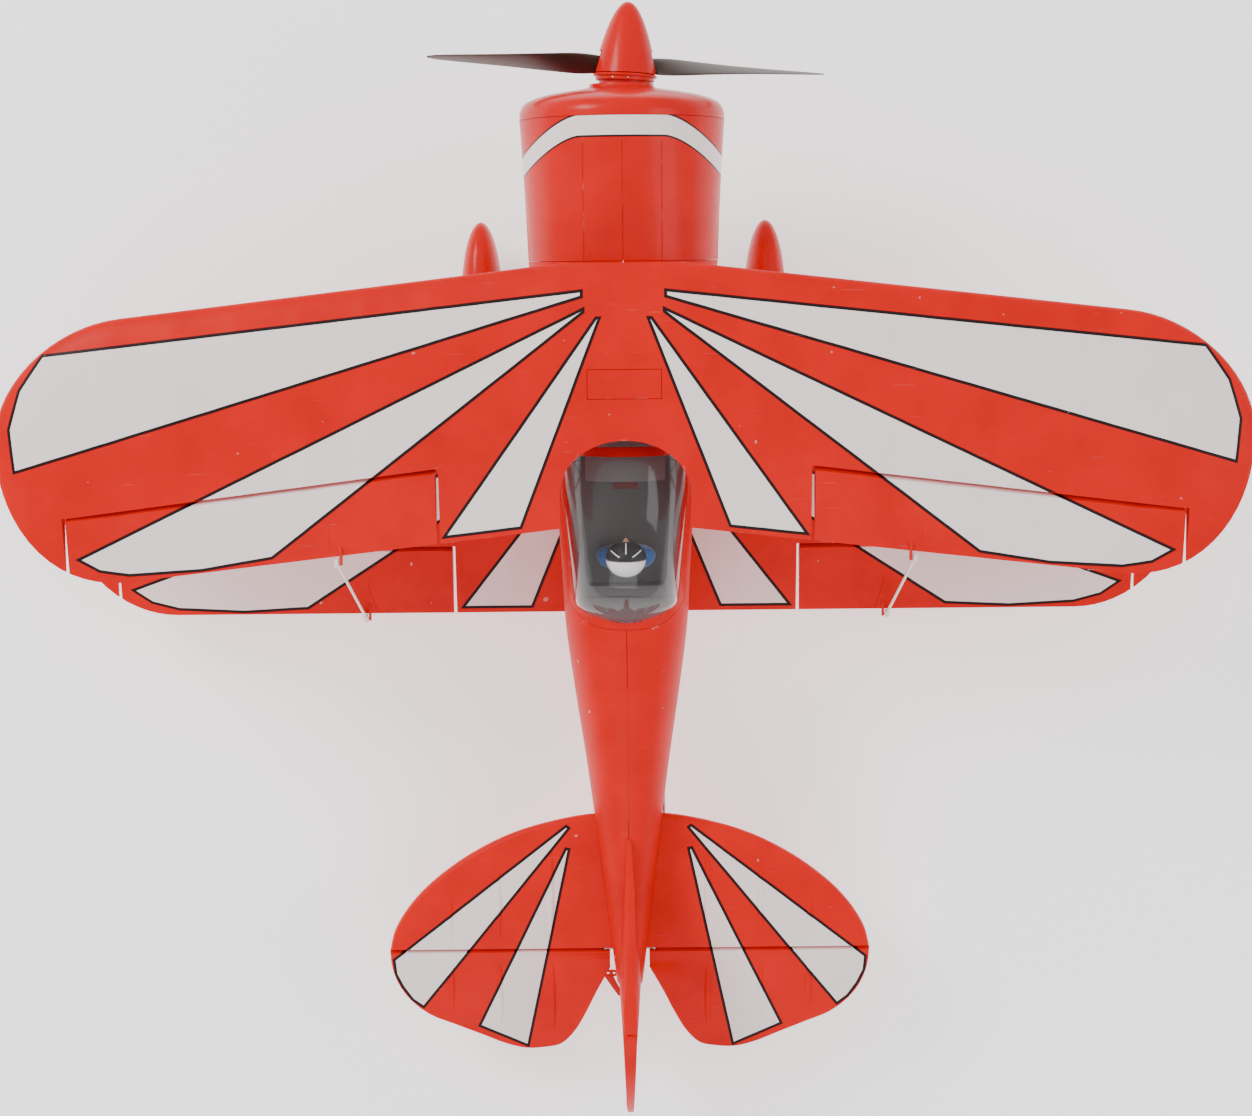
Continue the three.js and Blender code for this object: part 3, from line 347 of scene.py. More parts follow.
def lathe(profile: Plan, sides: int = 72) -> Solid:
    """Turns a profile about Z.

    Args:
        profile: (radius, height) points; a radius of 0 at an end closes the body there.
        sides: Steps round the turn.

    Returns:
        The solid.
    """
    points: list[tuple[float, float, float]] = []
    rows: list[list[int]] = []
    for radius, height in profile:
        if radius < 1e-6:
            points.append((0.0, 0.0, height))
            rows.append([len(points) - 1] * sides)
            continue
        row = []
        for i in range(sides):
            angle = 2 * math.pi * i / sides
            points.append((radius * math.cos(angle), radius * math.sin(angle), height))
            row.append(len(points) - 1)
        rows.append(row)
    open_ring = profile[0][0] > 1e-6
    pairs = list(zip(rows, rows[1:])) + ([(rows[-1], rows[0])] if open_ring else [])
    faces = []
    for low, high in pairs:
        for i in range(sides):
            j = (i + 1) % sides
            face = list(dict.fromkeys((low[i], low[j], high[j], high[i])))
            if len(face) > 2:
                faces.append(tuple(face))
    return Solid.of(points, faces)


def rod(
    start: Sequence[float], end: Sequence[float], radius: float, end_radius: float | None = None,
    sides: int = 24,
) -> Solid:
    """Makes a round bar or a cone between two points.

    Args:
        start: One end.
        end: The other end.
        radius: Radius at the start.
        end_radius: Radius at the end, where it differs.
        sides: Steps round it.

    Returns:
        The solid.
    """
    along = Vector(end) - Vector(start)
    far = radius if end_radius is None else end_radius
    bar = lathe(((0, 0), (radius, 0), (far, along.length), (0, along.length)), sides)
    return bar.turned(along.to_track_quat("Z", "Y").to_matrix()).moved(*start)


def ball(centre: Sequence[float], radii: Sequence[float], steps: int = 32) -> Solid:
    """Returns an ellipsoid with its poles closed."""
    profile = [(math.sin(math.pi * i / steps), -math.cos(math.pi * i / steps)) for i in range(steps + 1)]
    profile[0], profile[-1] = (0.0, -1.0), (0.0, 1.0)
    round_body = lathe(profile, steps * 2)
    return Solid(round_body.points * np.array(radii, float) + np.array(centre, float), round_body.faces)


def eased(rows: Sequence[Sequence[float]], at: float) -> np.ndarray:
    """Reads a table smoothly, with its first column as the place.

    Args:
        rows: The table.
        at: The place.

    Returns:
        The other columns there.
    """
    table = np.array(rows, float)
    place = table[:, 0]
    i = int(np.clip(np.searchsorted(place, at) - 1, 0, len(place) - 2))
    slopes = np.gradient(table[:, 1:], place, axis=0)
    width = place[i + 1] - place[i]
    t = float(np.clip((at - place[i]) / width, 0, 1))
    a, b = table[i, 1:], table[i + 1, 1:]
    ease = (2 * t**3 - 3 * t**2 + 1, t**3 - 2 * t**2 + t, -2 * t**3 + 3 * t**2, t**3 - t**2)
    return ease[0] * a + ease[1] * width * slopes[i] + ease[2] * b + ease[3] * width * slopes[i + 1]


def curved_plan(corners: Plan, steps: int = 4) -> list[tuple[float, float]]:
    """Draws a smooth curve through the points of an open outline.

    Args:
        corners: The points.
        steps: Steps between two of them.

    Returns:
        The curve's points.
    """
    array = np.array(corners, float)
    lengths = np.concatenate([[0], np.cumsum(np.linalg.norm(np.diff(array, axis=0), axis=1))])
    table = np.column_stack([lengths, array])
    places = [
        lengths[i] + (lengths[i + 1] - lengths[i]) * k / steps
        for i in range(len(corners) - 1) for k in range(steps)
    ]
    return [tuple(eased(table, p)) for p in [*places, lengths[-1]]]


# ---- Node trees


class Bench:
    """Lays nodes into one tree."""

    def __init__(self, tree: bpy.types.NodeTree) -> None:
        """Starts work on a tree."""
        self.tree = tree

    def node(self, kind: str, inputs: dict[Any, Any] | None = None, **settings: Any) -> bpy.types.Node:
        """Adds a node.

        Args:
            kind: The node's type name.
            inputs: Values or sockets by input name or number.
            settings: Properties of the node.

        Returns:
            The node.
        """
        made = self.tree.nodes.new(kind)
        for key, value in settings.items():
            setattr(made, key, value)
        for key, value in (inputs or {}).items():
            socket = made.inputs[key]
            if isinstance(value, bpy.types.NodeSocket):
                self.tree.links.new(value, socket)
            else:
                socket.default_value = value
        return made

    def math(self, operation: str, *values: Any, clamp: bool = False) -> bpy.types.NodeSocket:
        """Returns the result of a Math node."""
        inputs = dict(enumerate(values))
        return self.node("ShaderNodeMath", inputs, operation=operation, use_clamp=clamp).outputs[0]

    def vector(self, operation: str, *values: Any) -> bpy.types.Node:
        """Returns a Vector Math node."""
        return self.node("ShaderNodeVectorMath", dict(enumerate(values)), operation=operation)

    def blend(self, share: Any, first: Any, second: Any) -> bpy.types.NodeSocket:
        """Returns a colour between two."""
        inputs = {0: share, 6: first, 7: second}
        return self.node("ShaderNodeMix", inputs, data_type="RGBA").outputs[2]

    def ramp(self, value: Any, low: float, high: float, start: float = 0.0, end: float = 1.0) -> Any:
        """Returns a value taken from one range to another and held at its ends."""
        inputs = {0: value, 1: low, 2: high, 3: start, 4: end}
        return self.node("ShaderNodeMapRange", inputs, clamp=True).outputs[0]

    def noise(self, vector: Any, scale: float, detail: float = 2.0, rough: float = 0.5) -> Any:
        """Returns a noise value."""
        inputs = {"Vector": vector, "Scale": scale, "Detail": detail, "Roughness": rough}
        return self.node("ShaderNodeTexNoise", inputs).outputs[0]


def shader_group(
    name: str, inputs: dict[str, Any], outputs: tuple[str, ...],
    lay: Callable[[Bench, Any], dict[str, Any]],
) -> bpy.types.NodeTree:
    """Builds a shader node group once, and finds it after that.

    Args:
        name: The group's name.
        inputs: Default values by name; None stands for a vector.
        outputs: Names of the values it puts out.
        lay: Lays the inner nodes and returns the socket of each output.

    Returns:
        The group.
    """
    if name in bpy.data.node_groups:
        return bpy.data.node_groups[name]
    tree = bpy.data.node_groups.new(name, "ShaderNodeTree")
    for key, value in inputs.items():
        kind = "NodeSocketVector" if value is None else "NodeSocketFloat"
        socket = tree.interface.new_socket(key, in_out="INPUT", socket_type=kind)
        if value is not None:
            socket.default_value = value
    for key in outputs:
        tree.interface.new_socket(key, in_out="OUTPUT", socket_type="NodeSocketFloat")
    bench = Bench(tree)
    bench.node("NodeGroupOutput", lay(bench, bench.node("NodeGroupInput").outputs))
    return tree


def grain_group() -> bpy.types.NodeTree:
    """Returns the moulded foam's bead pattern under its paint."""

    def lay(bench: Bench, given: Any) -> dict[str, Any]:
        """Lays the beads and the slow cloudiness."""
        beads = bench.node(
            "ShaderNodeTexVoronoi", {"Vector": given["Vector"], "Scale": given["Beads"]},
            feature="SMOOTH_F1",
        ).outputs["Distance"]
        fine = bench.noise(given["Vector"], 900.0, 3.0)
        cloud = bench.noise(given["Vector"], 26.0, 3.0, 0.55)
        height = bench.math("ADD", bench.math("MULTIPLY", beads, 0.7), bench.math("MULTIPLY", fine, 0.3))
        return {"Height": height, "Tone": cloud, "Speck": fine}

    return shader_group("foam_grain", {"Vector": None, "Beads": 330.0}, ("Height", "Tone", "Speck"), lay)


def wear_group() -> bpy.types.NodeTree:
    """Returns rubbed edges, small dings and fine scratches."""

    def lay(bench: Bench, given: Any) -> dict[str, Any]:
        """Lays edge rub, dings and scratches."""
        edge = bench.node("ShaderNodeAttribute", attribute_name="edge").outputs["Fac"]
        patch = bench.noise(given["Vector"], 70.0, 4.0, 0.6)
        rub = bench.math("MULTIPLY", edge, bench.ramp(patch, 0.56, 0.7, 0.0, 0.6))
        stretch = bench.node(
            "ShaderNodeMapping", {"Vector": given["Vector"], "Scale": (40.0, 900.0, 300.0)},
        ).outputs[0]
        scratch = bench.ramp(bench.noise(stretch, 1.0, 2.0), 0.71, 0.78)
        ding = bench.ramp(bench.noise(given["Vector"], 140.0, 1.0), 0.78, 0.82)
        marks = bench.math("MAXIMUM", bench.math("MULTIPLY", scratch, 0.2), ding)
        wear = bench.math("MULTIPLY", bench.math("MAXIMUM", rub, marks), given["Amount"], clamp=True)
        return {"Wear": wear, "Marks": marks}

    return shader_group("edge_wear", {"Vector": None, "Amount": 0.5}, ("Wear", "Marks"), lay)


def brush_group() -> bpy.types.NodeTree:
    """Returns fine lines along Y, as on drawn or rolled metal, and as wood grain."""

    def lay(bench: Bench, given: Any) -> dict[str, Any]:
        """Lays long thin noise."""
        stretch = bench.vector("MULTIPLY", given["Vector"], (1.0, 0.04, 1.0)).outputs[0]
        return {"Lines": bench.noise(stretch, given["Fineness"], 4.0, 0.7)}

    return shader_group("drawn_lines", {"Vector": None, "Fineness": 900.0}, ("Lines",), lay)


@dataclass(frozen=True)
class Decoration:
    """A painted pattern: white patches with a dark line round them, in aircraft metres."""

    name: str
    patches: tuple[Plan, ...] = ()
    line: float = 1.05
    back: float = 0.0
    sweep: float = 0.0

    def lay(self, bench: Bench, given: Any) -> dict[str, Any]:
        """Lays the signed distance to each patch, mirrored left to right.

        Args:
            bench: Where the nodes go.
            given: The group's inputs.

        Returns:
            The white and the line mask.
        """
        apart = bench.node("ShaderNodeSeparateXYZ", {0: given["Vector"]}).outputs
        out = bench.math("MULTIPLY", bench.math("ABSOLUTE", apart[0]), 1000.0)
        along = bench.math("MULTIPLY_ADD", apart[1], 1000.0, -self.back)
        along = bench.math("MULTIPLY_ADD", out, self.sweep, along)
        wavy = bench.noise(given["Vector"], 60.0, 1.0)
        best: Any = -1000.0
        for patch in self.patches:
            inside: Any = 1000.0
            middle = Vector(np.mean(np.array(patch, float), axis=0))
            for start, end in zip(patch, [*patch[1:], patch[0]]):
                a, b = Vector(start), Vector(end)
                normal = Vector((a.y - b.y, b.x - a.x)).normalized()
                normal = normal if normal.dot(middle - a) > 0 else -normal
                part = bench.math("MULTIPLY_ADD", along, normal.y, -normal.dot(a))
                inside = bench.math("MINIMUM", inside, bench.math("MULTIPLY_ADD", out, normal.x, part))
            best = bench.math("MAXIMUM", best, inside)
        best = bench.math("ADD", best, bench.math("MULTIPLY_ADD", wavy, 0.3, -0.15))
        white = bench.ramp(best, -0.1, 0.1)
        near = bench.math("ABSOLUTE", best)
        line = bench.ramp(near, self.line + 0.1, self.line - 0.1)
        top = bench.node("ShaderNodeAttribute", attribute_name="top").outputs["Fac"]
        return {"White": bench.math("MULTIPLY", white, top), "Line": bench.math("MULTIPLY", line, top)}

    def group(self) -> bpy.types.NodeTree:
        """Returns the pattern's node group."""
        return shader_group(self.name, {"Vector": None}, ("White", "Line"), self.lay)


@dataclass(frozen=True)
class CowlBand(Decoration):
    """The white band round the front of the cowl, swept back down its sides."""

    front: float = -312.5
    width: float = 14.5
    half: float = 68.0
    flat: float = 29.0
    fall: float = 24.0

    def lay(self, bench: Bench, given: Any) -> dict[str, Any]:
        """Lays the band.

        Args:
            bench: Where the nodes go.
            given: The group's inputs.

        Returns:
            The white and the line mask.
        """
        apart = bench.node("ShaderNodeSeparateXYZ", {0: given["Vector"]}).outputs
        out = bench.math("MULTIPLY_ADD", bench.math("ABSOLUTE", apart[0]), 1000.0, -self.flat)
        out = bench.math("MAXIMUM", bench.math("DIVIDE", out, self.half - self.flat), 0.0)
        height = bench.math("MULTIPLY", apart[2], 1000.0)
        bend = bench.math("MULTIPLY", bench.math("POWER", out, 1.6), self.fall)
        below = bench.ramp(height, 0.0, -60.0)
        bend = bench.math("ADD", bend, bench.math("MULTIPLY", below, self.fall))
        along = bench.math("SUBTRACT", bench.math("MULTIPLY", apart[1], 1000.0), bend)
        middle = self.front + self.width / 2
        off = bench.math("ABSOLUTE", bench.math("SUBTRACT", along, middle))
        inside = bench.math("SUBTRACT", self.width / 2, off)
        return {
            "White": bench.ramp(inside, -0.1, 0.1),
            "Line": bench.ramp(bench.math("ABSOLUTE", inside), 0.75, 0.55),
        }


SUNBURST = (
    ((28, -195), (389, -155), (405, -132), (413, -106), (411, -77), (28, -191)),
    ((27, -183), (371, -17), (357, -9), (337, -6), (288, -9), (240, -17), (27, -181)),
    ((16.2, -177), (18.4, -177), (123, -30), (71, -36)),
)
WING_RAYS = Decoration("upper_sunburst", SUNBURST)
LOWER_RAYS = Decoration("lower_sunburst", SUNBURST, back=88, sweep=0.115)
TAIL_RAYS = Decoration(
    "tail_sunburst",
    (
        ((44, 199.5), (46, 198), (175, 299), (174, 310), (169, 320), (162, 330), (154, 336)),
        ((44, 215.5), (46.4, 215), (112.5, 351), (76.5, 367)),
    ),
)
NO_PATTERN = Decoration("plain_paint")
COWL_BAND = CowlBand("cowl_band")


# ---- Finishes


class Look(Enum):
    """Families of finish."""

    FOAM = "painted foam"
    PLASTIC = "moulded plastic"
    METAL = "metal"
    WOOD = "wood"
    RUBBER = "rubber"
    GLASS = "glass"
    CLOTH = "cloth"


@dataclass(frozen=True)
class Finish:
    """One surface finish, with the record's material slot that it stands for."""

    name: str
    look: Look
    colour: tuple[float, float, float]
    rough: float = 0.4
    bump: float = 0.15
    coat: float = 0.0
    worn: tuple[float, float, float] = (0.9, 0.86, 0.82)
    wear: float = 0.3
    pattern: Decoration = NO_PATTERN
    white: tuple[float, float, float] = (0.98, 0.865, 0.85)
    dark: tuple[float, float, float] = (0.018, 0.008, 0.008)
    beads: float = 330.0
    shine: float = 0.14
    slot: str = "red_plastic"

    def material(self) -> bpy.types.Material:
        """Returns the material, built on first use."""
        if self.name in bpy.data.materials:
            return bpy.data.materials[self.name]
        made = bpy.data.materials.new(self.name)
        made.use_nodes = True
        made.diffuse_color = (*self.colour, 1.0)
        made.node_tree.nodes.clear()
        bench = Bench(made.node_tree)
        place = bench.node("ShaderNodeTexCoord").outputs["Object"]
        shader = bench.node("ShaderNodeBsdfPrincipled")
        bench.node("ShaderNodeOutputMaterial", {"Surface": shader.outputs[0]})
        lay = {Look.GLASS: self.lay_glass, Look.METAL: self.lay_metal, Look.WOOD: self.lay_metal}
        lay.get(self.look, self.lay_solid)(bench, shader, place)
        return made

    def lay_solid(self, bench: Bench, shader: bpy.types.Node, place: Any) -> None:
        """Dresses paint, plastic, rubber and cloth.

        Args:
            bench: Where the nodes go.
            shader: The surface shader.
            place: Object coordinates.
        """
        where, turn = STANCE.mapping()
        inputs = {"Vector": place, "Location": where, "Rotation": turn}
        aircraft = bench.node("ShaderNodeMapping", inputs).outputs[0]
        grain = bench.node("ShaderNodeGroup", node_tree=grain_group())
        grain.inputs["Beads"].default_value = self.beads
        wear = bench.node("ShaderNodeGroup", node_tree=wear_group())
        wear.inputs["Amount"].default_value = self.wear
        for group in (grain, wear):
            bench.tree.links.new(aircraft, group.inputs["Vector"])
        base: Any = (*self.colour, 1.0)
        shade = tuple(c * 0.86 for c in self.colour)
        base = bench.blend(bench.ramp(grain.outputs["Tone"], 0.35, 0.7), base, (*shade, 1.0))
        if self.pattern is not NO_PATTERN:
            rays = bench.node("ShaderNodeGroup", {0: aircraft}, node_tree=self.pattern.group())
            tone = bench.ramp(grain.outputs["Tone"], 0.3, 0.75)
            white = bench.blend(tone, (*self.white, 1.0), (*(c * 0.965 for c in self.white), 1.0))
            base = bench.blend(rays.outputs["White"], base, white)
            base = bench.blend(rays.outputs["Line"], base, (*self.dark, 1.0))
        base = bench.blend(wear.outputs["Wear"], base, (*self.worn, 1.0))
        bench.tree.links.new(base, shader.inputs["Base Color"])
        speck = bench.ramp(grain.outputs["Speck"], 0.3, 0.7, self.rough - 0.05, self.rough + 0.07)
        scuffed = bench.math("MULTIPLY_ADD", wear.outputs["Marks"], 0.18, speck)
        bench.tree.links.new(scuffed, shader.inputs["Roughness"])
        height = bench.math("MULTIPLY_ADD", wear.outputs["Marks"], -1.2, grain.outputs["Height"])
        bump = bench.node("ShaderNodeBump", {"Strength": self.bump, "Distance": 0.0004, "Height": height})
        bench.tree.links.new(bump.outputs[0], shader.inputs["Normal"])
        shader.inputs["Specular IOR Level"].default_value = self.shine
        shader.inputs["Coat Weight"].default_value = self.coat
        shader.inputs["Coat Roughness"].default_value = 0.12
        if self.look is Look.CLOTH:
            shader.inputs["Sheen Weight"].default_value = 0.4

    def lay_metal(self, bench: Bench, shader: bpy.types.Node, place: Any) -> None:
        """Dresses drawn metal and bare plywood.

        Args:
            bench: Where the nodes go.
            shader: The surface shader.
            place: Object coordinates.
        """
        lines = bench.node("ShaderNodeGroup", {0: place}, node_tree=brush_group())
        lines.inputs["Fineness"].default_value = 900.0 if self.look is Look.METAL else 420.0
        wear = bench.node("ShaderNodeGroup", {0: place}, node_tree=wear_group())
        wear.inputs["Amount"].default_value = self.wear
        strength = 0.8 if self.look is Look.METAL else 0.6
        shade = (*(c * strength for c in self.colour), 1.0)
        base = bench.blend(bench.ramp(lines.outputs[0], 0.3, 0.7), shade, (*self.colour, 1.0))
        base = bench.blend(wear.outputs["Wear"], base, (*self.worn, 1.0))
        bench.tree.links.new(base, shader.inputs["Base Color"])
        rough = bench.ramp(lines.outputs[0], 0.3, 0.7, self.rough + 0.1, self.rough - 0.05)
        bench.tree.links.new(rough, shader.inputs["Roughness"])
        inputs = {"Strength": self.bump, "Distance": 0.0002, "Height": lines.outputs[0]}
        bench.tree.links.new(bench.node("ShaderNodeBump", inputs).outputs[0], shader.inputs["Normal"])
        shader.inputs["Metallic"].default_value = 1.0 if self.look is Look.METAL else 0.0

    def lay_glass(self, bench: Bench, shader: bpy.types.Node, place: Any) -> None:
        """Dresses the clear canopy, with a few wipe marks in its gloss.

        Args:
            bench: Where the nodes go.
            shader: The surface shader.
            place: Object coordinates.
        """
        wipe = bench.noise(place, 34.0, 3.0)
        bench.tree.links.new(bench.ramp(wipe, 0.45, 0.75, 0.015, 0.07), shader.inputs["Roughness"])
        tint = (*(c * 0.97 for c in self.colour), 1.0)
        bench.tree.links.new(bench.blend(wipe, (*self.colour, 1.0), tint), shader.inputs["Base Color"])
        inputs = {"Strength": self.bump, "Distance": 0.0003, "Height": wipe}
        bench.tree.links.new(bench.node("ShaderNodeBump", inputs).outputs[0], shader.inputs["Normal"])
        shadow = bench.node("ShaderNodeLightPath").outputs["Is Shadow Ray"]
        bench.tree.links.new(bench.math("MULTIPLY_ADD", shadow, -0.88, 1.0), shader.inputs["Alpha"])
        shader.inputs["Metallic"].default_value = 0.0
        shader.inputs["Transmission Weight"].default_value = 1.0
        shader.inputs["IOR"].default_value = 1.3


RED = (0.74, 0.002, 0.0005)
RED_GLOSS = (0.7, 0.002, 0.0005)
FOAM = Finish("red_foam_paint", Look.FOAM, RED, 0.42, 0.2, slot="red_foam")
UPPER_PAINT = Finish("upper_wing_paint", Look.FOAM, RED, 0.42, 0.16, pattern=WING_RAYS, slot="red_foam")
LOWER_PAINT = Finish("lower_wing_paint", Look.FOAM, RED, 0.42, 0.16, pattern=LOWER_RAYS, slot="red_foam")
TAIL_PAINT = Finish("tail_paint", Look.FOAM, RED, 0.42, 0.16, pattern=TAIL_RAYS, slot="red_foam")
COWL_PAINT = Finish("cowl_paint", Look.PLASTIC, RED_GLOSS, 0.34, 0.1, 0.1, wear=0.15, pattern=COWL_BAND)
GLOSS_RED = Finish("red_gloss_plastic", Look.PLASTIC, RED_GLOSS, 0.3, 0.05, 0.12, wear=0.15)
HORN_RED = Finish("red_nylon", Look.PLASTIC, (0.7, 0.02, 0.012), 0.38, 0.08)
BLACK = Finish(
    "black_plastic", Look.PLASTIC, (0.022, 0.02, 0.02), 0.38, 0.1, worn=(0.2, 0.19, 0.19),
    slot="black_plastic",
)
BLADE = Finish(
    "blade_plastic", Look.PLASTIC, (0.05, 0.03, 0.024), 0.4, 0.05, shine=0.3,
    worn=(0.2, 0.17, 0.16), wear=0.1, slot="black_plastic",
)
WHITE = Finish(
    "white_nylon", Look.PLASTIC, (0.94, 0.9, 0.8), 0.35, 0.06, worn=(0.6, 0.55, 0.5),
    slot="white_plastic",
)
GREY = Finish(
    "cockpit_grey", Look.PLASTIC, (0.22, 0.155, 0.15), 0.6, 0.25, worn=(0.3, 0.27, 0.27),
    slot="cockpit_grey",
)
# Dark red on the instrument shelf; on the tail's hinge strips the same dark red is painted shade, the dark of
# the hinge gaps.
DARK_PANEL_AND_GAP_SHADE = Finish("dark_red_panel_and_gap_shade", Look.PLASTIC, (0.13, 0.025, 0.02), 0.5, 0.1, slot="red_foam")
DIAL = Finish("dial_face", Look.PLASTIC, (0.5, 0.49, 0.46), 0.35, 0.03, slot="white_plastic")
GLASS = Finish("canopy_clear", Look.GLASS, (0.93, 0.93, 0.94), bump=0.02, slot="canopy_glass")
STEEL = Finish("bright_steel", Look.METAL, (0.62, 0.62, 0.64), 0.28, 0.1, slot="steel")
ALUMINIUM = Finish("brushed_aluminium", Look.METAL, (0.75, 0.76, 0.78), 0.33, 0.15, slot="aluminium")
COPPER = Finish(
    "enamelled_copper", Look.METAL, (0.6, 0.27, 0.12), 0.32, 0.15, worn=(0.7, 0.4, 0.2),
    slot="copper",
)
PLY = Finish("birch_ply", Look.WOOD, (0.62, 0.42, 0.22), 0.62, 0.3, worn=(0.7, 0.55, 0.35), slot="plywood")
RUBBER = Finish("tyre_rubber", Look.RUBBER, (0.02, 0.02, 0.02), 0.75, 0.3, worn=(0.1, 0.1, 0.1), slot="tyre")
WRAP = Finish(
    "battery_wrap", Look.PLASTIC, (0.03, 0.08, 0.28), 0.35, 0.08, worn=(0.2, 0.2, 0.3),
    slot="battery_wrap",
)
SUIT = Finish(
    "blue_suit", Look.CLOTH, (0.03, 0.12, 0.36), 0.75, 0.5, beads=900.0, wear=0.05,
    slot="pilot_figure",
)
SKIN = Finish("painted_skin", Look.PLASTIC, (0.62, 0.36, 0.25), 0.5, 0.06, wear=0.05, slot="pilot_figure")
HELMET_WHITE = Finish(
    "helmet_white", Look.PLASTIC, (0.85, 0.84, 0.82), 0.25, 0.04, 0.3, wear=0.1,
    slot="pilot_figure",
)
HELMET_BLACK = Finish(
    "helmet_black", Look.PLASTIC, (0.02, 0.02, 0.022), 0.4, 0.5, worn=(0.6, 0.6, 0.6),
    slot="pilot_figure",
)


# ---- Pieces


def mark_surface(mesh: bpy.types.Mesh, limit: float) -> None:
    """Shades a mesh smooth up to its sharp edges, and marks its edges and its upper side.

    Args:
        mesh: The mesh, already placed.
        limit: Angle in degrees past which an edge is sharp.
    """
    mesh.shade_smooth()
    mesh.set_sharp_from_angle(angle=math.radians(limit))
    sharp = np.zeros(len(mesh.edges), bool)
    data = mesh.attributes.get("sharp_edge")
    if data:
        data.data.foreach_get("value", sharp)
    ends = np.zeros(len(mesh.edges) * 2, np.int32)
    mesh.edges.foreach_get("vertices", ends)
    edge = np.zeros(len(mesh.vertices), np.float32)
    edge[ends.reshape(-1, 2)[sharp].ravel()] = 1.0
    corners = np.zeros(len(mesh.loops), np.int32)
    mesh.loops.foreach_get("vertex_index", corners)
    counts, areas = np.zeros(len(mesh.polygons), np.int32), np.zeros(len(mesh.polygons), np.float32)
    mesh.polygons.foreach_get("loop_total", counts)
    mesh.polygons.foreach_get("area", areas)
    rubbed = edge[corners] * np.repeat(areas < RUBBED_AREA, counts)
    mesh.attributes.new("edge", "FLOAT", "CORNER").data.foreach_set("value", rubbed.astype(np.float32))
    normals = np.zeros(len(mesh.polygons) * 3, np.float32)
    mesh.polygons.foreach_get("normal", normals)
    cos, sin, _, _ = STANCE.parts()
    up = normals.reshape(-1, 3) @ np.array([0.0, sin, cos], np.float32)
    mesh.attributes.new("top", "FLOAT", "FACE").data.foreach_set("value", (up > TOP_LEAN).astype(np.float32))


def tidy(mesh: bpy.types.Mesh, flat: float = 0.0) -> None:
    """Merges doubled corners and dissolves faces that lie in one plane.

    Args:
        mesh: The mesh.
        flat: Angle in degrees under which faces join; 0 joins none.
    """
    work = bmesh.new()
    work.from_mesh(mesh)
    wide = [f for f in work.faces if len(f.verts) > 4]
    bmesh.ops.triangulate(work, faces=wide, ngon_method="EAR_CLIP")
    bmesh.ops.remove_doubles(work, verts=work.verts, dist=MERGE)
    bmesh.ops.dissolve_degenerate(work, edges=work.edges, dist=MERGE)
    if flat:
        angle = math.radians(flat)
        bmesh.ops.dissolve_limit(work, angle_limit=angle, verts=work.verts, edges=work.edges)
    work.to_mesh(mesh)
    work.free()


def rounded(mesh: bpy.types.Mesh, width: float, limit: float) -> bpy.types.Mesh:
    """Rounds a mesh's edges.

    Args:
        mesh: The mesh, which is used up.
        width: Width of the rounding in millimetres.
        limit: Angle in degrees past which an edge is rounded.

    Returns:
        The new mesh.
    """
    rough = linked("rough", mesh)
    step = rough.modifiers.new("edges", "BEVEL")
    step.width = width / 1000
    step.segments = 2
    step.limit_method = "ANGLE"
    step.angle_limit = math.radians(limit)
    mesh = settled(rough)
    scrap(rough)
    return mesh


@dataclass
class Shop:
    """Turns solids into finished pieces and keeps count."""

    made: list[str] = field(default_factory=list)
    rounded_sharp: float = 60.0

    def hand_over(
        self, name: str, mesh: bpy.types.Mesh, finish: Finish, nodes: Sequence[str], body: str,
        slot: str = "",
    ) -> None:
        """Makes a piece of a finished mesh.

        Args:
            name: The piece's name.
            mesh: Its placed mesh.
            finish: Its finish.
            nodes: The CAD nodes it stands for.
            body: The body it moves with.
            slot: The record's material slot, where it isn't the finish's own; it is not used.
        """
        mesh.name = name
        slot = slot or finish.slot
        piece = linked(name, mesh)
        if not mesh.materials:
            mesh.materials.append(finish.material())
        if nodes:
            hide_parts(*nodes)
        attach(piece, body)
        self.made.append(name)
        LOG.info("%s rides on %s, %d faces", name, body, len(mesh.polygons))

    def piece(
        self, name: str, solid: Solid, finish: Finish, *nodes: str, sharp: float = 32.0,
        bevel: float = 0.0, body: str = "airframe", slot: str = "",
    ) -> None:
        """Makes a piece of a solid in aircraft millimetres.

        Args:
            name: The piece's name.
            solid: Its shape.
            finish: Its finish.
            nodes: The CAD nodes it stands for.
            sharp: Angle past which its edges are sharp, in degrees.
            bevel: Width of its rounded edges in millimetres.
            body: The body it moves with.
            slot: The record's material slot, where it isn't the finish's own.
        """
        mesh = solid.mesh(STANCE.place(solid.points))
        tidy(mesh)
        if bevel:
            mesh = rounded(mesh, bevel, sharp)
            sharp = self.rounded_sharp
        mark_surface(mesh, sharp)
        self.hand_over(name, mesh, finish, nodes, body, slot)

    def refined(self, node: str, finish: Finish, bevel: float = 0.25, sharp: float = 50.0) -> None:
        """Makes a piece of a CAD node's own shape, with merged faces and rounded edges.

        Args:
            node: The node.
            finish: Its finish.
            bevel: Width of its rounded edges in millimetres.
            sharp: Angle past which its edges are rounded.
        """
        mesh = frame["nodes"][node].data.copy()
        mesh.materials.clear()
        for name in [a.name for a in mesh.attributes if a.name.startswith("custom_normal")]:
            mesh.attributes.remove(mesh.attributes[name])
        tidy(mesh, flat=1.0)
        mesh = rounded(mesh, bevel, sharp)
        mark_surface(mesh, self.rounded_sharp)
        self.hand_over(f"{node}_part", mesh, finish, [node], frame["nodes"][node]["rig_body"])


SHOP = Shop()


# ---- Repeated details


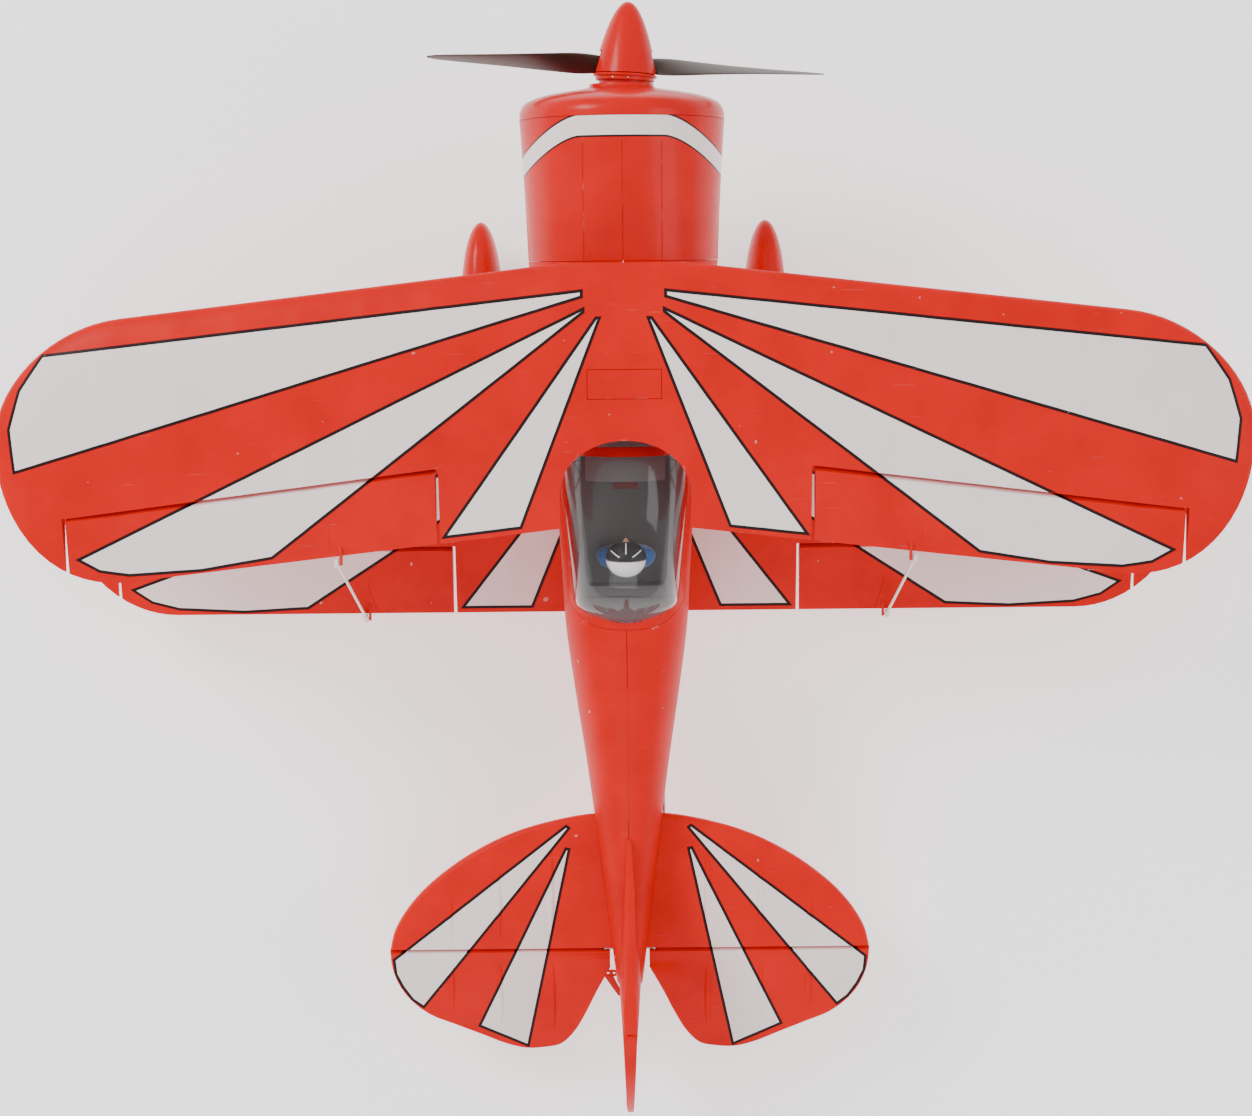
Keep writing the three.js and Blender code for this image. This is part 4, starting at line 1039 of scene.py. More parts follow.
class Repeats:
    """Geometry node trees for what repeats or follows a path."""

    @staticmethod
    def tree(name: str, inputs: dict[str, Any]) -> tuple[bpy.types.NodeTree, Bench, Any]:
        """Starts a tree with a geometry input, sizes and a material input.

        Args:
            name: The tree's name.
            inputs: Default numbers by name.

        Returns:
            The tree, a bench on it and its input sockets.
        """
        tree = bpy.data.node_groups.new(name, "GeometryNodeTree")
        tree.interface.new_socket("Geometry", in_out="INPUT", socket_type="NodeSocketGeometry")
        for key, value in inputs.items():
            kind = "NodeSocketInt" if isinstance(value, int) else "NodeSocketFloat"
            tree.interface.new_socket(key, in_out="INPUT", socket_type=kind).default_value = value
        tree.interface.new_socket("Material", in_out="INPUT", socket_type="NodeSocketMaterial")
        tree.interface.new_socket("Geometry", in_out="OUTPUT", socket_type="NodeSocketGeometry")
        bench = Bench(tree)
        return tree, bench, bench.node("NodeGroupInput").outputs

    @staticmethod
    def close(bench: Bench, geometry: Any, material: Any) -> None:
        """Ends a tree with real geometry in its material.

        Args:
            bench: The tree's bench.
            geometry: What was built.
            material: The material socket.
        """
        real = bench.node("GeometryNodeRealizeInstances", {0: geometry}).outputs[0]
        dressed = bench.node("GeometryNodeSetMaterial", {"Geometry": real, "Material": material})
        bench.node("NodeGroupOutput", {0: dressed.outputs[0]})

    @classmethod
    def fasteners(cls) -> bpy.types.NodeTree:
        """Returns the tree that sets a domed, slotted screw head on each point."""
        if "fasteners" in bpy.data.node_groups:
            return bpy.data.node_groups["fasteners"]
        tree, bench, given = cls.tree("fasteners", {"Radius": 0.0011, "Height": 0.0006})
        head = bench.node(
            "GeometryNodeMeshCone",
            {"Vertices": 16, "Side Segments": 2, "Radius Top": 0.6, "Radius Bottom": 1.0, "Depth": 1.0},
        ).outputs["Mesh"]
        slot = bench.node("GeometryNodeMeshCube", {"Size": (1.5, 0.22, 0.5)}).outputs["Mesh"]
        raised = bench.node("GeometryNodeTransform", {"Geometry": slot, "Translation": (0.0, 0.0, 1.0)})
        cut = bench.node("GeometryNodeMeshBoolean", {1: raised.outputs[0]}, operation="DIFFERENCE")
        bench.tree.links.new(head, cut.inputs[0])
        radius, height = given["Radius"], given["Height"]
        size = bench.node("ShaderNodeCombineXYZ", {0: radius, 1: radius, 2: height})
        facing = bench.node("GeometryNodeInputNamedAttribute", {"Name": "facing"}, data_type="FLOAT_VECTOR")
        turn = bench.node("FunctionNodeAlignRotationToVector", {"Vector": facing.outputs[0]}, axis="Z")
        inputs = {
            "Points": given["Geometry"], "Instance": cut.outputs[0],
            "Rotation": turn.outputs[0], "Scale": size.outputs[0],
        }
        spread = bench.node("GeometryNodeInstanceOnPoints", inputs)
        cls.close(bench, spread.outputs[0], given["Material"])
        return tree

    @classmethod
    def swept(cls) -> bpy.types.NodeTree:
        """Returns the tree that sweeps an oval section along a path."""
        if "swept_section" in bpy.data.node_groups:
            return bpy.data.node_groups["swept_section"]
        tree, bench, given = cls.tree("swept_section", {"Width": 0.001, "Depth": 0.001, "Sides": 20})
        path = bench.node("GeometryNodeMeshToCurve", {0: given["Geometry"]}).outputs[0]
        ring = bench.node("GeometryNodeCurvePrimitiveCircle", {"Resolution": given["Sides"], "Radius": 1.0})
        size = bench.node("ShaderNodeCombineXYZ", {0: given["Width"], 1: given["Depth"], 2: 1.0}).outputs[0]
        oval = bench.node("GeometryNodeTransform", {"Geometry": ring.outputs[0], "Scale": size}).outputs[0]
        inputs = {"Curve": path, "Profile Curve": oval, "Fill Caps": True}
        skin = bench.node("GeometryNodeCurveToMesh", inputs).outputs[0]
        cls.close(bench, skin, given["Material"])
        return tree

    @classmethod
    def ribs(cls) -> bpy.types.NodeTree:
        """Returns the tree that lays evenly spaced low ribs along X from each point."""
        if "ribs" in bpy.data.node_groups:
            return bpy.data.node_groups["ribs"]
        tree, bench, given = cls.tree("ribs", {"Width": 0.003, "Height": 0.0006})
        bar = bench.node("GeometryNodeMeshUVSphere", {"Segments": 20, "Rings": 14, "Radius": 0.5})
        length = bench.node("GeometryNodeInputNamedAttribute", {"Name": "length"}, data_type="FLOAT")
        width, height = given["Width"], given["Height"]
        size = bench.node("ShaderNodeCombineXYZ", {0: width, 1: length.outputs[0], 2: height})
        turn = bench.node("GeometryNodeInputNamedAttribute", {"Name": "tilt"}, data_type="FLOAT_VECTOR")
        rotation = bench.node("FunctionNodeEulerToRotation", {0: turn.outputs[0]})
        inputs = {
            "Points": given["Geometry"], "Instance": bar.outputs[0],
            "Rotation": rotation.outputs[0], "Scale": size.outputs[0],
        }
        spread = bench.node("GeometryNodeInstanceOnPoints", inputs)
        cls.close(bench, spread.outputs[0], given["Material"])
        return tree

    @staticmethod
    def run(
        name: str, tree: bpy.types.NodeTree, seed: bpy.types.Mesh, values: dict[str, Any],
        finish: Finish, *nodes: str, body: str = "airframe",
    ) -> None:
        """Runs a tree on a seed mesh and keeps the result as a plain piece.

        Args:
            name: The piece's name.
            tree: The tree.
            seed: Points or path, in metres of the shared frame.
            values: Its sizes by input name.
            finish: Its finish.
            nodes: The CAD nodes it stands for.
            body: The body the piece moves with.
        """
        host = linked("seed", seed)
        step = host.modifiers.new("repeat", "NODES")
        step.node_group = tree
        sockets = {i.name: i.identifier for i in tree.interface.items_tree if i.in_out == "INPUT"}
        for key, value in {**values, "Material": finish.material()}.items():
            step[sockets[key]] = value
        mesh = settled(host)
        host.modifiers.remove(step)
        scrap(host)
        for extra in [a.name for a in mesh.attributes if a.name in ("facing", "length", "tilt")]:
            mesh.attributes.remove(mesh.attributes[extra])
        mark_surface(mesh, REPEAT_SHARP)
        SHOP.hand_over(name, mesh, finish, nodes, body)


def screws(
    name: str, spots: Sequence[tuple[Sequence[float], Sequence[float]]], radius: float = 1.1,
    body: str = "airframe",
) -> None:
    """Sets steel screw heads on spots in aircraft millimetres.

    Args:
        name: The piece's name.
        spots: Place and outward direction of each head.
        radius: Radius of a head.
        body: The body they move with.
    """
    places = STANCE.place(np.array([s[0] for s in spots], float))
    ahead = STANCE.place(np.array([np.add(s[0], s[1]) for s in spots], float))
    seed = bpy.data.meshes.new("spots")
    seed.from_pydata(places.tolist(), [], [])
    facing = seed.attributes.new("facing", "FLOAT_VECTOR", "POINT")
    facing.data.foreach_set("vector", (ahead - places).astype(np.float32).ravel())
    values = {"Radius": radius / 1000, "Height": radius * 0.55 / 1000}
    Repeats.run(name, Repeats.fasteners(), seed, values, STEEL, body=body)


def sweep(
    name: str, paths: Sequence[Sequence[Sequence[float]]], width: float, depth: float,
    finish: Finish, *nodes: str,
) -> None:
    """Sweeps an oval bar of the airframe along paths in aircraft millimetres.

    Args:
        name: The piece's name.
        paths: Each a list of points.
        width: Half of the section across the path's own plane.
        depth: Half of the section in that plane.
        finish: Its finish.
        nodes: The CAD nodes it stands for.
    """
    points, edges = [], []
    for path in paths:
        start = len(points)
        points += list(path)
        edges += [(start + i, start + i + 1) for i in range(len(path) - 1)]
    seed = bpy.data.meshes.new("path")
    seed.from_pydata(STANCE.place(np.array(points, float)).tolist(), edges, [])
    values = {"Width": width / 1000, "Depth": depth / 1000}
    Repeats.run(name, Repeats.swept(), seed, values, finish, *nodes)


def rib_row(
    name: str, spots: Sequence[tuple[float, ...]], width: float, height: float, body: str,
    extra: float = 0.0,
) -> None:
    """Lays low ribs along the tail.

    Args:
        name: The piece's name.
        spots: (x, y, z, length) of each rib's middle.
        width: A rib's width.
        height: A rib's full height, most of it sunk in the foam.
        body: The body they move with.
        extra: How far their backs are raised, in radians.
    """
    array = np.array(spots, float)
    seed = bpy.data.meshes.new("ribs")
    seed.from_pydata(STANCE.place(array[:, :3]).tolist(), [], [])
    length = seed.attributes.new("length", "FLOAT", "POINT")
    length.data.foreach_set("value", (array[:, 3] / 1000).astype(np.float32))
    cos, sin, _, _ = STANCE.parts()
    tilt = np.tile(np.array([extra - math.atan2(sin, cos), 0, 0], np.float32), (len(spots), 1))
    seed.attributes.new("tilt", "FLOAT_VECTOR", "POINT").data.foreach_set("vector", tilt.ravel())
    values = {"Width": width / 1000, "Height": height / 1000}
    Repeats.run(name, Repeats.ribs(), seed, values, TAIL_PAINT, body=body)


# ---- Wings


@dataclass(frozen=True)
class Wing:
    """A wing's shape: constant chord with half-ellipse tips and soft ribs."""

    lead: float
    sweep: float
    height: float
    tip_apex: float
    flat: float
    half_span: float = 425.0
    tip: float = 87.0
    chord: float = 178.0
    thickness: float = 0.115
    arch: float = 0.02
    arch_place: float = 0.4
    edge: float = 0.8
    rib_pitch: float = 43.0
    rib_height: float = 0.8

    def edges(self, x: float) -> tuple[float, float]:
        """Returns the leading and the trailing edge at x."""
        out = abs(x)
        shift = self.sweep * max(out, self.flat)
        past = max(0.0, (out - (self.half_span - self.tip)) / self.tip)
        pinch = math.sqrt(max(0.0, 1 - past * past))
        ends = (self.lead + shift, self.lead + self.chord + shift)
        return tuple(self.tip_apex + (y - self.tip_apex) * pinch for y in ends)

    def camber(self, share: float) -> float:
        """Returns the camber line's height at a share of the chord, as a share of the chord."""
        p = self.arch_place
        if share < p:
            return self.arch / p**2 * (2 * p * share - share**2)
        return self.arch / (1 - p) ** 2 * (1 - 2 * p + 2 * p * share - share**2)

    def ring(self, x: float, grow: float, ribbed: bool) -> np.ndarray:
        """Draws the section.

        Args:
            x: Where along the span.
            grow: How much larger it is all round.
            ribbed: Whether the soft ribs show.

        Returns:
            The section's points.
        """
        lead, trail = self.edges(x)
        chord = trail - lead
        off = (abs(x) + self.rib_pitch / 2) % self.rib_pitch - self.rib_pitch / 2
        rib = self.rib_height * (math.exp(-((off / 6.0) ** 2)) - 1) if ribbed else 0.0
        steps = 30
        points = []
        for i in range(-steps, steps + 1):
            s = (1 - math.cos(math.pi * i / steps)) / 2
            curve = 0.2969 * math.sqrt(s) - 0.126 * s - 0.3516 * s**2 + 0.2843 * s**3 - 0.1036 * s**4
            thick = 0.0
            if i:
                edge = self.edge * s * min(1.0, chord / self.chord + 0.2)
                swell = rib * math.sin(math.pi * min(1, s * 1.02)) ** 0.5 * chord / self.chord
                thick = chord * 5 * self.thickness * curve + edge + grow + swell
            side = -1 if i < 0 else 1
            y = lead - grow + s * (chord + 2 * grow)
            points.append((x, y, self.height + chord * self.camber(s) + side * thick))
        return np.array(points)

    def blank(self, grow: float = 0.0, ribbed: bool = True) -> Solid:
        """Makes the whole wing, tip to tip.

        Args:
            grow: How much larger it is all round.
            ribbed: Whether the soft ribs show.

        Returns:
            The solid.
        """
        start = self.half_span - self.tip
        angles = (0, 5, 10, 15, 20, 26, 32, 38, 44, 50, 56, 62, 67, 72, 76, 80, 83, 86, 88.5)
        tip = [start + (self.tip + grow) * math.sin(math.radians(a)) for a in angles]
        inner = list(np.linspace(0, start, 98 if ribbed else 2)[1:-1]) if ribbed else []
        if self.flat:
            inner = sorted({*inner, self.flat})
        half = [*inner, *tip]
        places = [-x for x in reversed(half)] + [0.0] + half
        return loft([self.ring(x, grow, ribbed) for x in places])


@dataclass(frozen=True)
class Aileron:
    """One pair of ailerons, hinged on the wing's camber line."""

    wing: Wing
    level: str
    inner: float
    outer: float
    hinge_y: float
    slope: float
    recess: Plan
    recess_depth: float
    link_x: float = 196.5
    link_arm: float = 54.3
    link_drop: float = -2.6
    horn_x: float = 219.0
    horn_drop: float = -14.0

    def hinge_at(self, out: float) -> float:
        """Returns the hinge line's Y at a distance from the centre."""
        return self.hinge_y + self.slope * (out - self.inner)

    def hinge_z(self) -> float:
        """Returns the hinge line's height."""
        lead, _ = self.wing.edges(self.inner)
        return self.wing.height + self.wing.chord * self.wing.camber((self.hinge_y - lead) / self.wing.chord)

    def plan(self, side: int, ahead: float, wider: float) -> list[tuple[float, float]]:
        """Draws the aileron's plan.

        Args:
            side: Left or right.
            ahead: How far its hinge side is moved forward.
            wider: How far its ends are moved out.

        Returns:
            The outline.
        """
        inner, outer = self.inner - wider, self.outer + wider
        back = self.hinge_y + 120
        corners = (
            (inner, self.hinge_at(inner) - ahead), (outer, self.hinge_at(outer) - ahead),
            (outer, back), (inner, back),
        )
        return [(side * x, y) for x, y in corners]

    def bay(self, side: int) -> Solid:
        """Returns the space that the aileron and its gaps need."""
        return prism("z", self.plan(side, 0.8, 2.3), self.wing.height - 40, self.wing.height + 40)

    def wedge(self, side: int, up: int) -> Solid:
        """Returns the wedge that bevels the aileron's nose, above or below its hinge."""
        reach, z = 30.0, self.hinge_z()
        rings = []
        for out in (self.inner - 5, self.outer + 5):
            y = self.hinge_at(out)
            top = z + up * reach
            ring = ((y - reach, z), (y, z), (y + reach * HINGE_BEVEL, top), (y - reach, top))
            rings.append(np.array([(side * out, py, pz) for py, pz in ring]))
        return loft(rings)

    def ball_place(self, side: int) -> tuple[float, float, float]:
        """Returns the place of the ball that the link between the wings takes."""
        turn = math.atan(self.slope)
        foot = self.link_x + self.link_arm * math.sin(turn)
        y = self.hinge_at(foot) + self.link_arm * math.cos(turn)
        return side * self.link_x, y, self.hinge_z() + self.link_drop

    def build(self, blank: Solid, finish: Finish) -> None:
        """Makes both ailerons of this wing.

        Args:
            blank: The whole wing.
            finish: Their paint.
        """
        for word, side in SIDES:
            z = self.wing.height
            panel = blank.meet(prism("z", self.plan(side, 0, 0), z - 40, z + 40))
            panel = panel.minus(self.wedge(side, 1), self.wedge(side, -1))
            ring = [(side * x, y) for x, y in self.recess]
            dip = prism("z", ring, self.hinge_z() - 2, z + 30)
            panel = panel.minus(dip.minus(blank.moved(z=-self.recess_depth)))
            body = f"{self.level}_aileron_{word}"
            SHOP.piece(f"{body}_panel", panel, finish, body, body=body)
            self.horns(word, side, body)

    def horns(self, word: str, side: int, body: str) -> None:
        """Makes the link's horn with its white ball, and the servo's horn on a lower aileron.

        Args:
            word: Left or right.
            side: The same as a sign.
            body: The aileron's body.
        """
        x, y, z = self.ball_place(side)
        plane = x - side * 3.1
        blade = blade_x(plane, (y - 9, z + 0.8), (y, z), 2.4, 2.0)
        SHOP.piece(f"{body}_link_horn", blade, HORN_RED, bevel=0.2, body=body)
        pin = rod((plane, y, z), (x + side * 1.6, y, z), 0.8)
        SHOP.piece(f"{body}_ball_pin", pin.beside(ball((x, y, z), (1.25,) * 3, 12)), WHITE, body=body)
        if self.level == "lower":
            hole = (self.hinge_y, self.hinge_z() + self.horn_drop)
            blade = blade_x(side * self.horn_x, (self.hinge_y + 11, self.hinge_z() - 4), hole, 5.0, 3.0)
            SHOP.piece(f"{body}_servo_horn", blade, HORN_RED, bevel=0.2, body=body)
            pin = rod((side * self.horn_x, *hole), (side * (self.horn_x + 4.4), *hole), 0.8)
            SHOP.piece(f"{body}_horn_pin", pin, STEEL, body=body)


def blade_x(x: float, start: Plan, end: Plan, root: float, tip: float, thick: float = 1.6) -> Solid:
    """Makes a flat blade in a plane of constant x, round at both ends.

    Args:
        x: The plane.
        start: (y, z) of one end's centre.
        end: (y, z) of the other end's centre.
        root: Radius at the start.
        tip: Radius at the end.
        thick: Its thickness.

    Returns:
        The solid.
    """
    ring = []
    along = math.atan2(end[1] - start[1], end[0] - start[0])
    for centre, radius, first in ((start, root, along + math.pi / 2), (end, tip, along - math.pi / 2)):
        for i in range(13):
            angle = first + math.pi * i / 12
            ring.append((centre[0] + radius * math.cos(angle), centre[1] + radius * math.sin(angle)))
    return prism("x", ring, x - thick / 2, x + thick / 2)


UPPER = Wing(lead=-218, sweep=0.115, height=100, tip_apex=-93, flat=40)
LOWER = Wing(lead=-130, sweep=0, height=-58, tip_apex=-55, flat=0)
COVER_SQUARE = ((181, -41), (201, -39), (201, -20), (181, -22))
HORN_RECESS = ((172, 23), (194, 23), (193, 30), (184, 60), (178, 60))
UPPER_AILERON = Aileron(UPPER, "upper", 128, 378, -76.3, 0.125, COVER_SQUARE, 0.3)
LOWER_AILERON = Aileron(LOWER, "lower", 130, 380, -2.5, 0, HORN_RECESS, 0.7)


@dataclass(frozen=True)
class Wings:
    """Both wings with their ailerons, servos, links and struts."""

    cutout_half: float = 44.3
    cutout_depth: float = 36.0
    cutout_y: float = -59.0
    plate: tuple[float, float, float, float] = (25.0, -143.0, -123.0, 110.0)
    servo_y: float = -57.0
    servo_z: float = -59.0

    def build(self) -> None:
        """Makes everything that belongs to the wings."""
        self.upper()
        self.lower()
        self.servos()
        self.links()
        self.struts()

    def upper(self) -> None:
        """Makes the upper wing, the plate on its centre and its ailerons."""
        blank = UPPER.blank()
        curve = [
            (self.cutout_half * math.cos(a), self.cutout_y + self.cutout_depth * math.sin(a))
            for a in np.linspace(math.pi, 2 * math.pi, 49)
        ]
        cutout = prism("z", [*curve, (self.cutout_half, 20), (-self.cutout_half, 20)], 60, 140)
        half, front, back, floor = self.plate
        pocket = box(-half, half, front, back, floor, 140)
        bays = [UPPER_AILERON.bay(side) for _, side in SIDES]
        wing = blank.minus(cutout, pocket, *bays)
        SHOP.piece("upper_wing_panel", wing, UPPER_PAINT, "upper_wing")
        lid = box(-half + GAP, half - GAP, front + GAP, back - GAP, floor + GAP, 140)
        SHOP.piece("upper_wing_plate", blank.meet(lid), FOAM, "wing_plate", slot="red_plastic")
        UPPER_AILERON.build(blank, UPPER_PAINT)

    def lower(self) -> None:
        """Makes the lower wing with the belly fairing, and its ailerons."""
        blank = LOWER.blank()
        belly = FUSELAGE.blank().meet(box(-80, 80, -130.4, 48, -100, -60.3))
        spaces = [LOWER_AILERON.bay(side) for _, side in SIDES]
        spaces += [box(s * 204.5, s * 225.5, -71, -43, -90, -51) for _, s in SIDES]
        wing = blank.plus(belly).minus(*spaces)
        SHOP.piece("lower_wing_panel", wing, LOWER_PAINT, "lower_wing")
        LOWER_AILERON.build(blank, LOWER_PAINT)

    def servos(self) -> None:
        """Makes the aileron servos with their arms, rods and screws."""
        for word, side in SIDES:
            SHOP.refined(f"aileron_servo_{word}", BLACK, 0.4, 35)
            SHOP.refined(f"aileron_servo_arm_{word}", WHITE)
            SHOP.refined(f"aileron_pushrod_{word}", STEEL, 0.1)
            y, z = self.servo_y, self.servo_z
            spots = [((side * 217.1, y + dy, z), (side, 0, 0)) for dy in (-11.5, 11.5)]
            screws(f"servo_screws_{word}", spots)

    def links(self) -> None:
        """Makes the white rods that join the upper to the lower ailerons."""
        for word, side in SIDES:
            low, high = LOWER_AILERON.ball_place(side), UPPER_AILERON.ball_place(side)
            body = f"aileron_link_{word}"
            a, b = Vector(low), Vector(high)
            inset = (b - a).normalized()
            shaft = rod(a + inset * 2.4, b - inset * 2.4, 1.0)
            eyes = []
            for spot in (a, b):
                eye = rod(spot - Vector((1.4, 0, 0)), spot + Vector((1.4, 0, 0)), 3.2, sides=40)
                bore = rod(spot - Vector((3, 0, 0)), spot + Vector((3, 0, 0)), 1.32, sides=40)
                eyes.append(eye.minus(bore))
            sockets = [
                rod(a + inset * 2.6, a + inset * 9, 2.0, 1.5), rod(b - inset * 2.6, b - inset * 9, 2.0, 1.5),
            ]
            solid = eyes[0].beside(eyes[1], shaft, *sockets)
            SHOP.piece(f"{body}_rod", solid, WHITE, body, body=body)

    def struts(self) -> None:
        """Makes the interplane and the cabane struts, streamlined, with their feet."""
        for word, side in SIDES:
            x = side * 290
            legs = (((-104, -50.6), (-158, 92)), ((-28, -50.5), (-84, 94.5)), ((-104, -50.6), (-84, 94.5)))
            paths = [[(x, *low), (x, *high)] for low, high in legs]
            name = f"interplane_strut_{word}"
            sweep(f"{name}_bars", paths, 1.8, 3.2, GLOSS_RED, name)
            feet = []
            for y, z, up in ((-104, -50.5, 1), (-28, -50.3, 1), (-158, 91.4, -1), (-84, 94, -1)):
                feet.append(ball((x, y, z + up * 0.4), (3.4, 6.5, 1.8), 10))
            SHOP.piece(f"{name}_feet", feet[0].beside(*feet[1:]), GLOSS_RED)
            low_x, high_x = side * 40, side * 34
            cabin = (((-176, 57), (-182, 91)), ((-130, 56), (-126, 92)), ((-176, 57), (-126, 92)))
            paths = [[(low_x, *low), (high_x, *high)] for low, high in cabin]
            sweep(f"cabane_{word}_bars", paths, 1.6, 2.4, GLOSS_RED, f"cabane_{word}")


# ---- Fuselage


@dataclass(frozen=True)
class Fuselage:
    """The foam body in two halves, with its hatch, canopy and nose block."""

    stations: tuple[tuple[float, ...], ...] = (
        (-214, 67.3, 66, -73, 2.3), (-120, 57.2, 60, -73, 2.7), (-60, 50.8, 58, -72.5, 3.1),
        (0, 46.5, 57, -71, 3.1), (45, 44.2, 57, -68, 2.9), (88, 38.9, 53, -62, 2.6),
        (148, 30.3, 45, -52, 2.4), (210, 22.5, 36, -40, 2.3), (260, 16.6, 29, -31.3, 2.2),
        (316, 9.8, 21, -22, 2.2),
    )
    wall: float = 5.0
    cavity_end: float = 262.0
    nose_front: float = -264.0
    hatch_front: float = -122.0
    hatch_floor: float = 36.0
    ramp_start: float = 22.0
    glass_wall: float = 1.2
    glass_spring: float = 40.0
    glass_rows: tuple[tuple[float, ...], ...] = (
        (-118, 20, 62), (-112, 29, 67.5), (-100, 37, 76), (-84, 42, 87), (-62, 43.8, 92),
        (-30, 41.5, 93.5), (0, 38.7, 90), (18, 37, 81), (27, 34.8, 72), (33, 26, 65.5), (37, 13, 61.5),
    )

    @staticmethod
    def ring(y: float, half: float, top: float, low: float, square: float, count: int = 96) -> np.ndarray:
        """Draws a closed section with its widest place on the thrust line.

        Args:
            y: Where along the body.
            half: Half width.
            top: Height of the top.
            low: Height of the bottom.
            square: How square the section is; 2 is an ellipse.
            count: Points round it.

        Returns:
            The section's points.
        """
        angle = np.linspace(0, 2 * math.pi, count, endpoint=False)
        c, s = np.cos(angle), np.sin(angle)
        x = half * np.sign(c) * np.abs(c) ** (2 / square)
        z = np.where(s > 0, top, -low) * np.sign(s) * np.abs(s) ** (2 / square)
        return np.stack([x, np.full(count, y), z], 1)

    def blank(self, grow: float = 0.0, start: float = -214.0, end: float = 316.0) -> Solid:
        """Makes the body's outer shape over a stretch of its length.

        Args:
            grow: How much larger it is all round.
            start: Front of the stretch.
            end: Back of the stretch.

        Returns:
            The solid.
        """
        rings = []
        for y in np.linspace(start, end, max(2, int((end - start) / 6))):
            half, top, low, square = eased(self.stations, y)
            rings.append(self.ring(y, half + grow, top + grow, low - grow, square))
        return loft(rings)

    def nose_block(self, grow: float) -> Solid:
        """Returns the block that the firewall closes."""
        ahead, behind = (self.wall, self.wall + 3) if grow < 0 else (0, 3)
        ends = (self.nose_front - ahead, self.stations[0][0] + behind)
        return loft([self.ring(y, 48 + grow, 46 + grow, -50 - grow, 2.6) for y in ends])

    def hatch(self, grow: float) -> Solid:
        """Makes the hatch's space, with its ramp at the back.

        Args:
            grow: How much larger it is.

        Returns:
            The solid.
        """
        ramp, shift = 60, grow * math.sqrt(2)
        front, floor, start = self.hatch_front, self.hatch_floor, self.ramp_start
        profile = (
            (front - 20, floor - grow), (start + shift - grow, floor - grow),
            (start + ramp + shift - grow, floor + ramp - grow), (front - 20, floor + ramp - grow),
        )
        plan = ((0, front), (26, front + 2), (40, front + 18), (47, -84), (49.5, -62), (49.5, 60))
        wide = [(x + (grow if i > 1 else 0), y - grow) for i, (x, y) in enumerate(plan)]
        outline = [*wide, *((-x, y) for x, y in reversed(wide[1:]))]
        return prism("x", profile, -60, 60).meet(prism("z", outline, floor - 10, floor + ramp))

    def bubble(self, grow: float, base: float) -> Solid:
        """Makes the canopy bubble from its base up.

        Args:
            grow: How much larger it is all round.
            base: Height of its base.

        Returns:
            The solid.
        """
        first, last = self.glass_rows[0][0], self.glass_rows[-1][0]
        places = [first + (last - first) * (1 - math.cos(math.pi * i / 44)) / 2 for i in range(45)]
        rings = []
        for i, y in enumerate(places):
            half, top = eased(self.glass_rows, y)
            half, top = half + grow, top + grow
            end = -grow if i == 0 else grow if i == len(places) - 1 else 0
            angle = np.linspace(math.pi, 0, 49)
            c, s = np.cos(angle), np.maximum(np.sin(angle), 0)
            x = half * np.sign(c) * np.abs(c) ** 0.8
            z = self.glass_spring + (top - self.glass_spring) * s**0.8
            arch = np.stack([x, np.full(49, y + end), z], 1)
            foot = np.array([(half, y + end, base), (-half, y + end, base)])
            rings.append(np.concatenate([foot, arch]))
        return loft(rings)

    def build(self) -> None:
        """Makes everything that belongs to the body."""
        self.shell()
        self.canopy()
        self.cockpit()
        self.inside()

    def shell(self) -> None:
        """Makes the two halves, glued along the centre line."""
        saddle = LOWER.blank(0.4, ribbed=False).plus(box(-80, 80, -130.8, 48.4, -100, -60))
        hull = self.blank().plus(self.nose_block(0))
        hull = hull.minus(
            self.blank(-self.wall, self.stations[0][0] + self.wall, self.cavity_end),
            self.nose_block(-self.wall), saddle, self.hatch(0), TAIL.stab(GAP),
            box(16, 23.5, 150, 250, -24, -17), box(-28.8, -24.4, 110, 205, -18.6, -12.8),
            rod((-30, 292, 0), (30, 292, 0), 1.9),
        )
        shelf = box(-70, 70, -211, -100, -42, -38.6).meet(self.blank(1 - self.wall, -213, self.cavity_end))
        hull = hull.plus(shelf)
        for word, side in SIDES:
            half = hull.meet(box(side * 0.15, side * 90, -300, 400, -120, 150))
            name = f"fuselage_{word}"
            SHOP.piece(f"{name}_skin", half, FOAM, name)
        seams = [
            [(0, y, eased(self.stations, y)[1] - 0.15) for y in np.linspace(84, 186, 35)],
            [(0, y, eased(self.stations, y)[2] + 0.15) for y in np.linspace(50, 250, 50)],
        ]
        sweep("fuselage_seams", seams, 0.4, 0.4, FOAM)

    def canopy(self) -> None:
        """Makes the canopy: frame with its hoop, and glass."""
        gap_wall = -self.glass_wall - GAP
        blank = self.blank().meet(self.hatch(-0.4))
        hoop = self.bubble(gap_wall, 37).meet(box(-60, 60, -88, -82, 36, 120))
        hoop = hoop.minus(self.bubble(-self.glass_wall - 4, 30))
        ring = blank.minus(self.bubble(GAP, 30))
        feet = [box(side * 35.5, side * 44.5, -88, -82, 36.5, 37.9) for _, side in SIDES]
        SHOP.piece("canopy_frame_ring", ring.plus(hoop, *feet), GLOSS_RED, "canopy_frame", body="canopy")
        ramp = prism("x", ((22.6, 30), (60, 30), (60, 74), (22.6, 36.6)), -60, 60)
        trim = box(-60, 60, 0, 60, 30, 38).plus(ramp)
        glass = self.bubble(0, 38.2).minus(self.bubble(-self.glass_wall, 30), trim)
        SHOP.piece("canopy_glass_bubble", glass, GLASS, "canopy_glass", sharp=50, body="canopy")

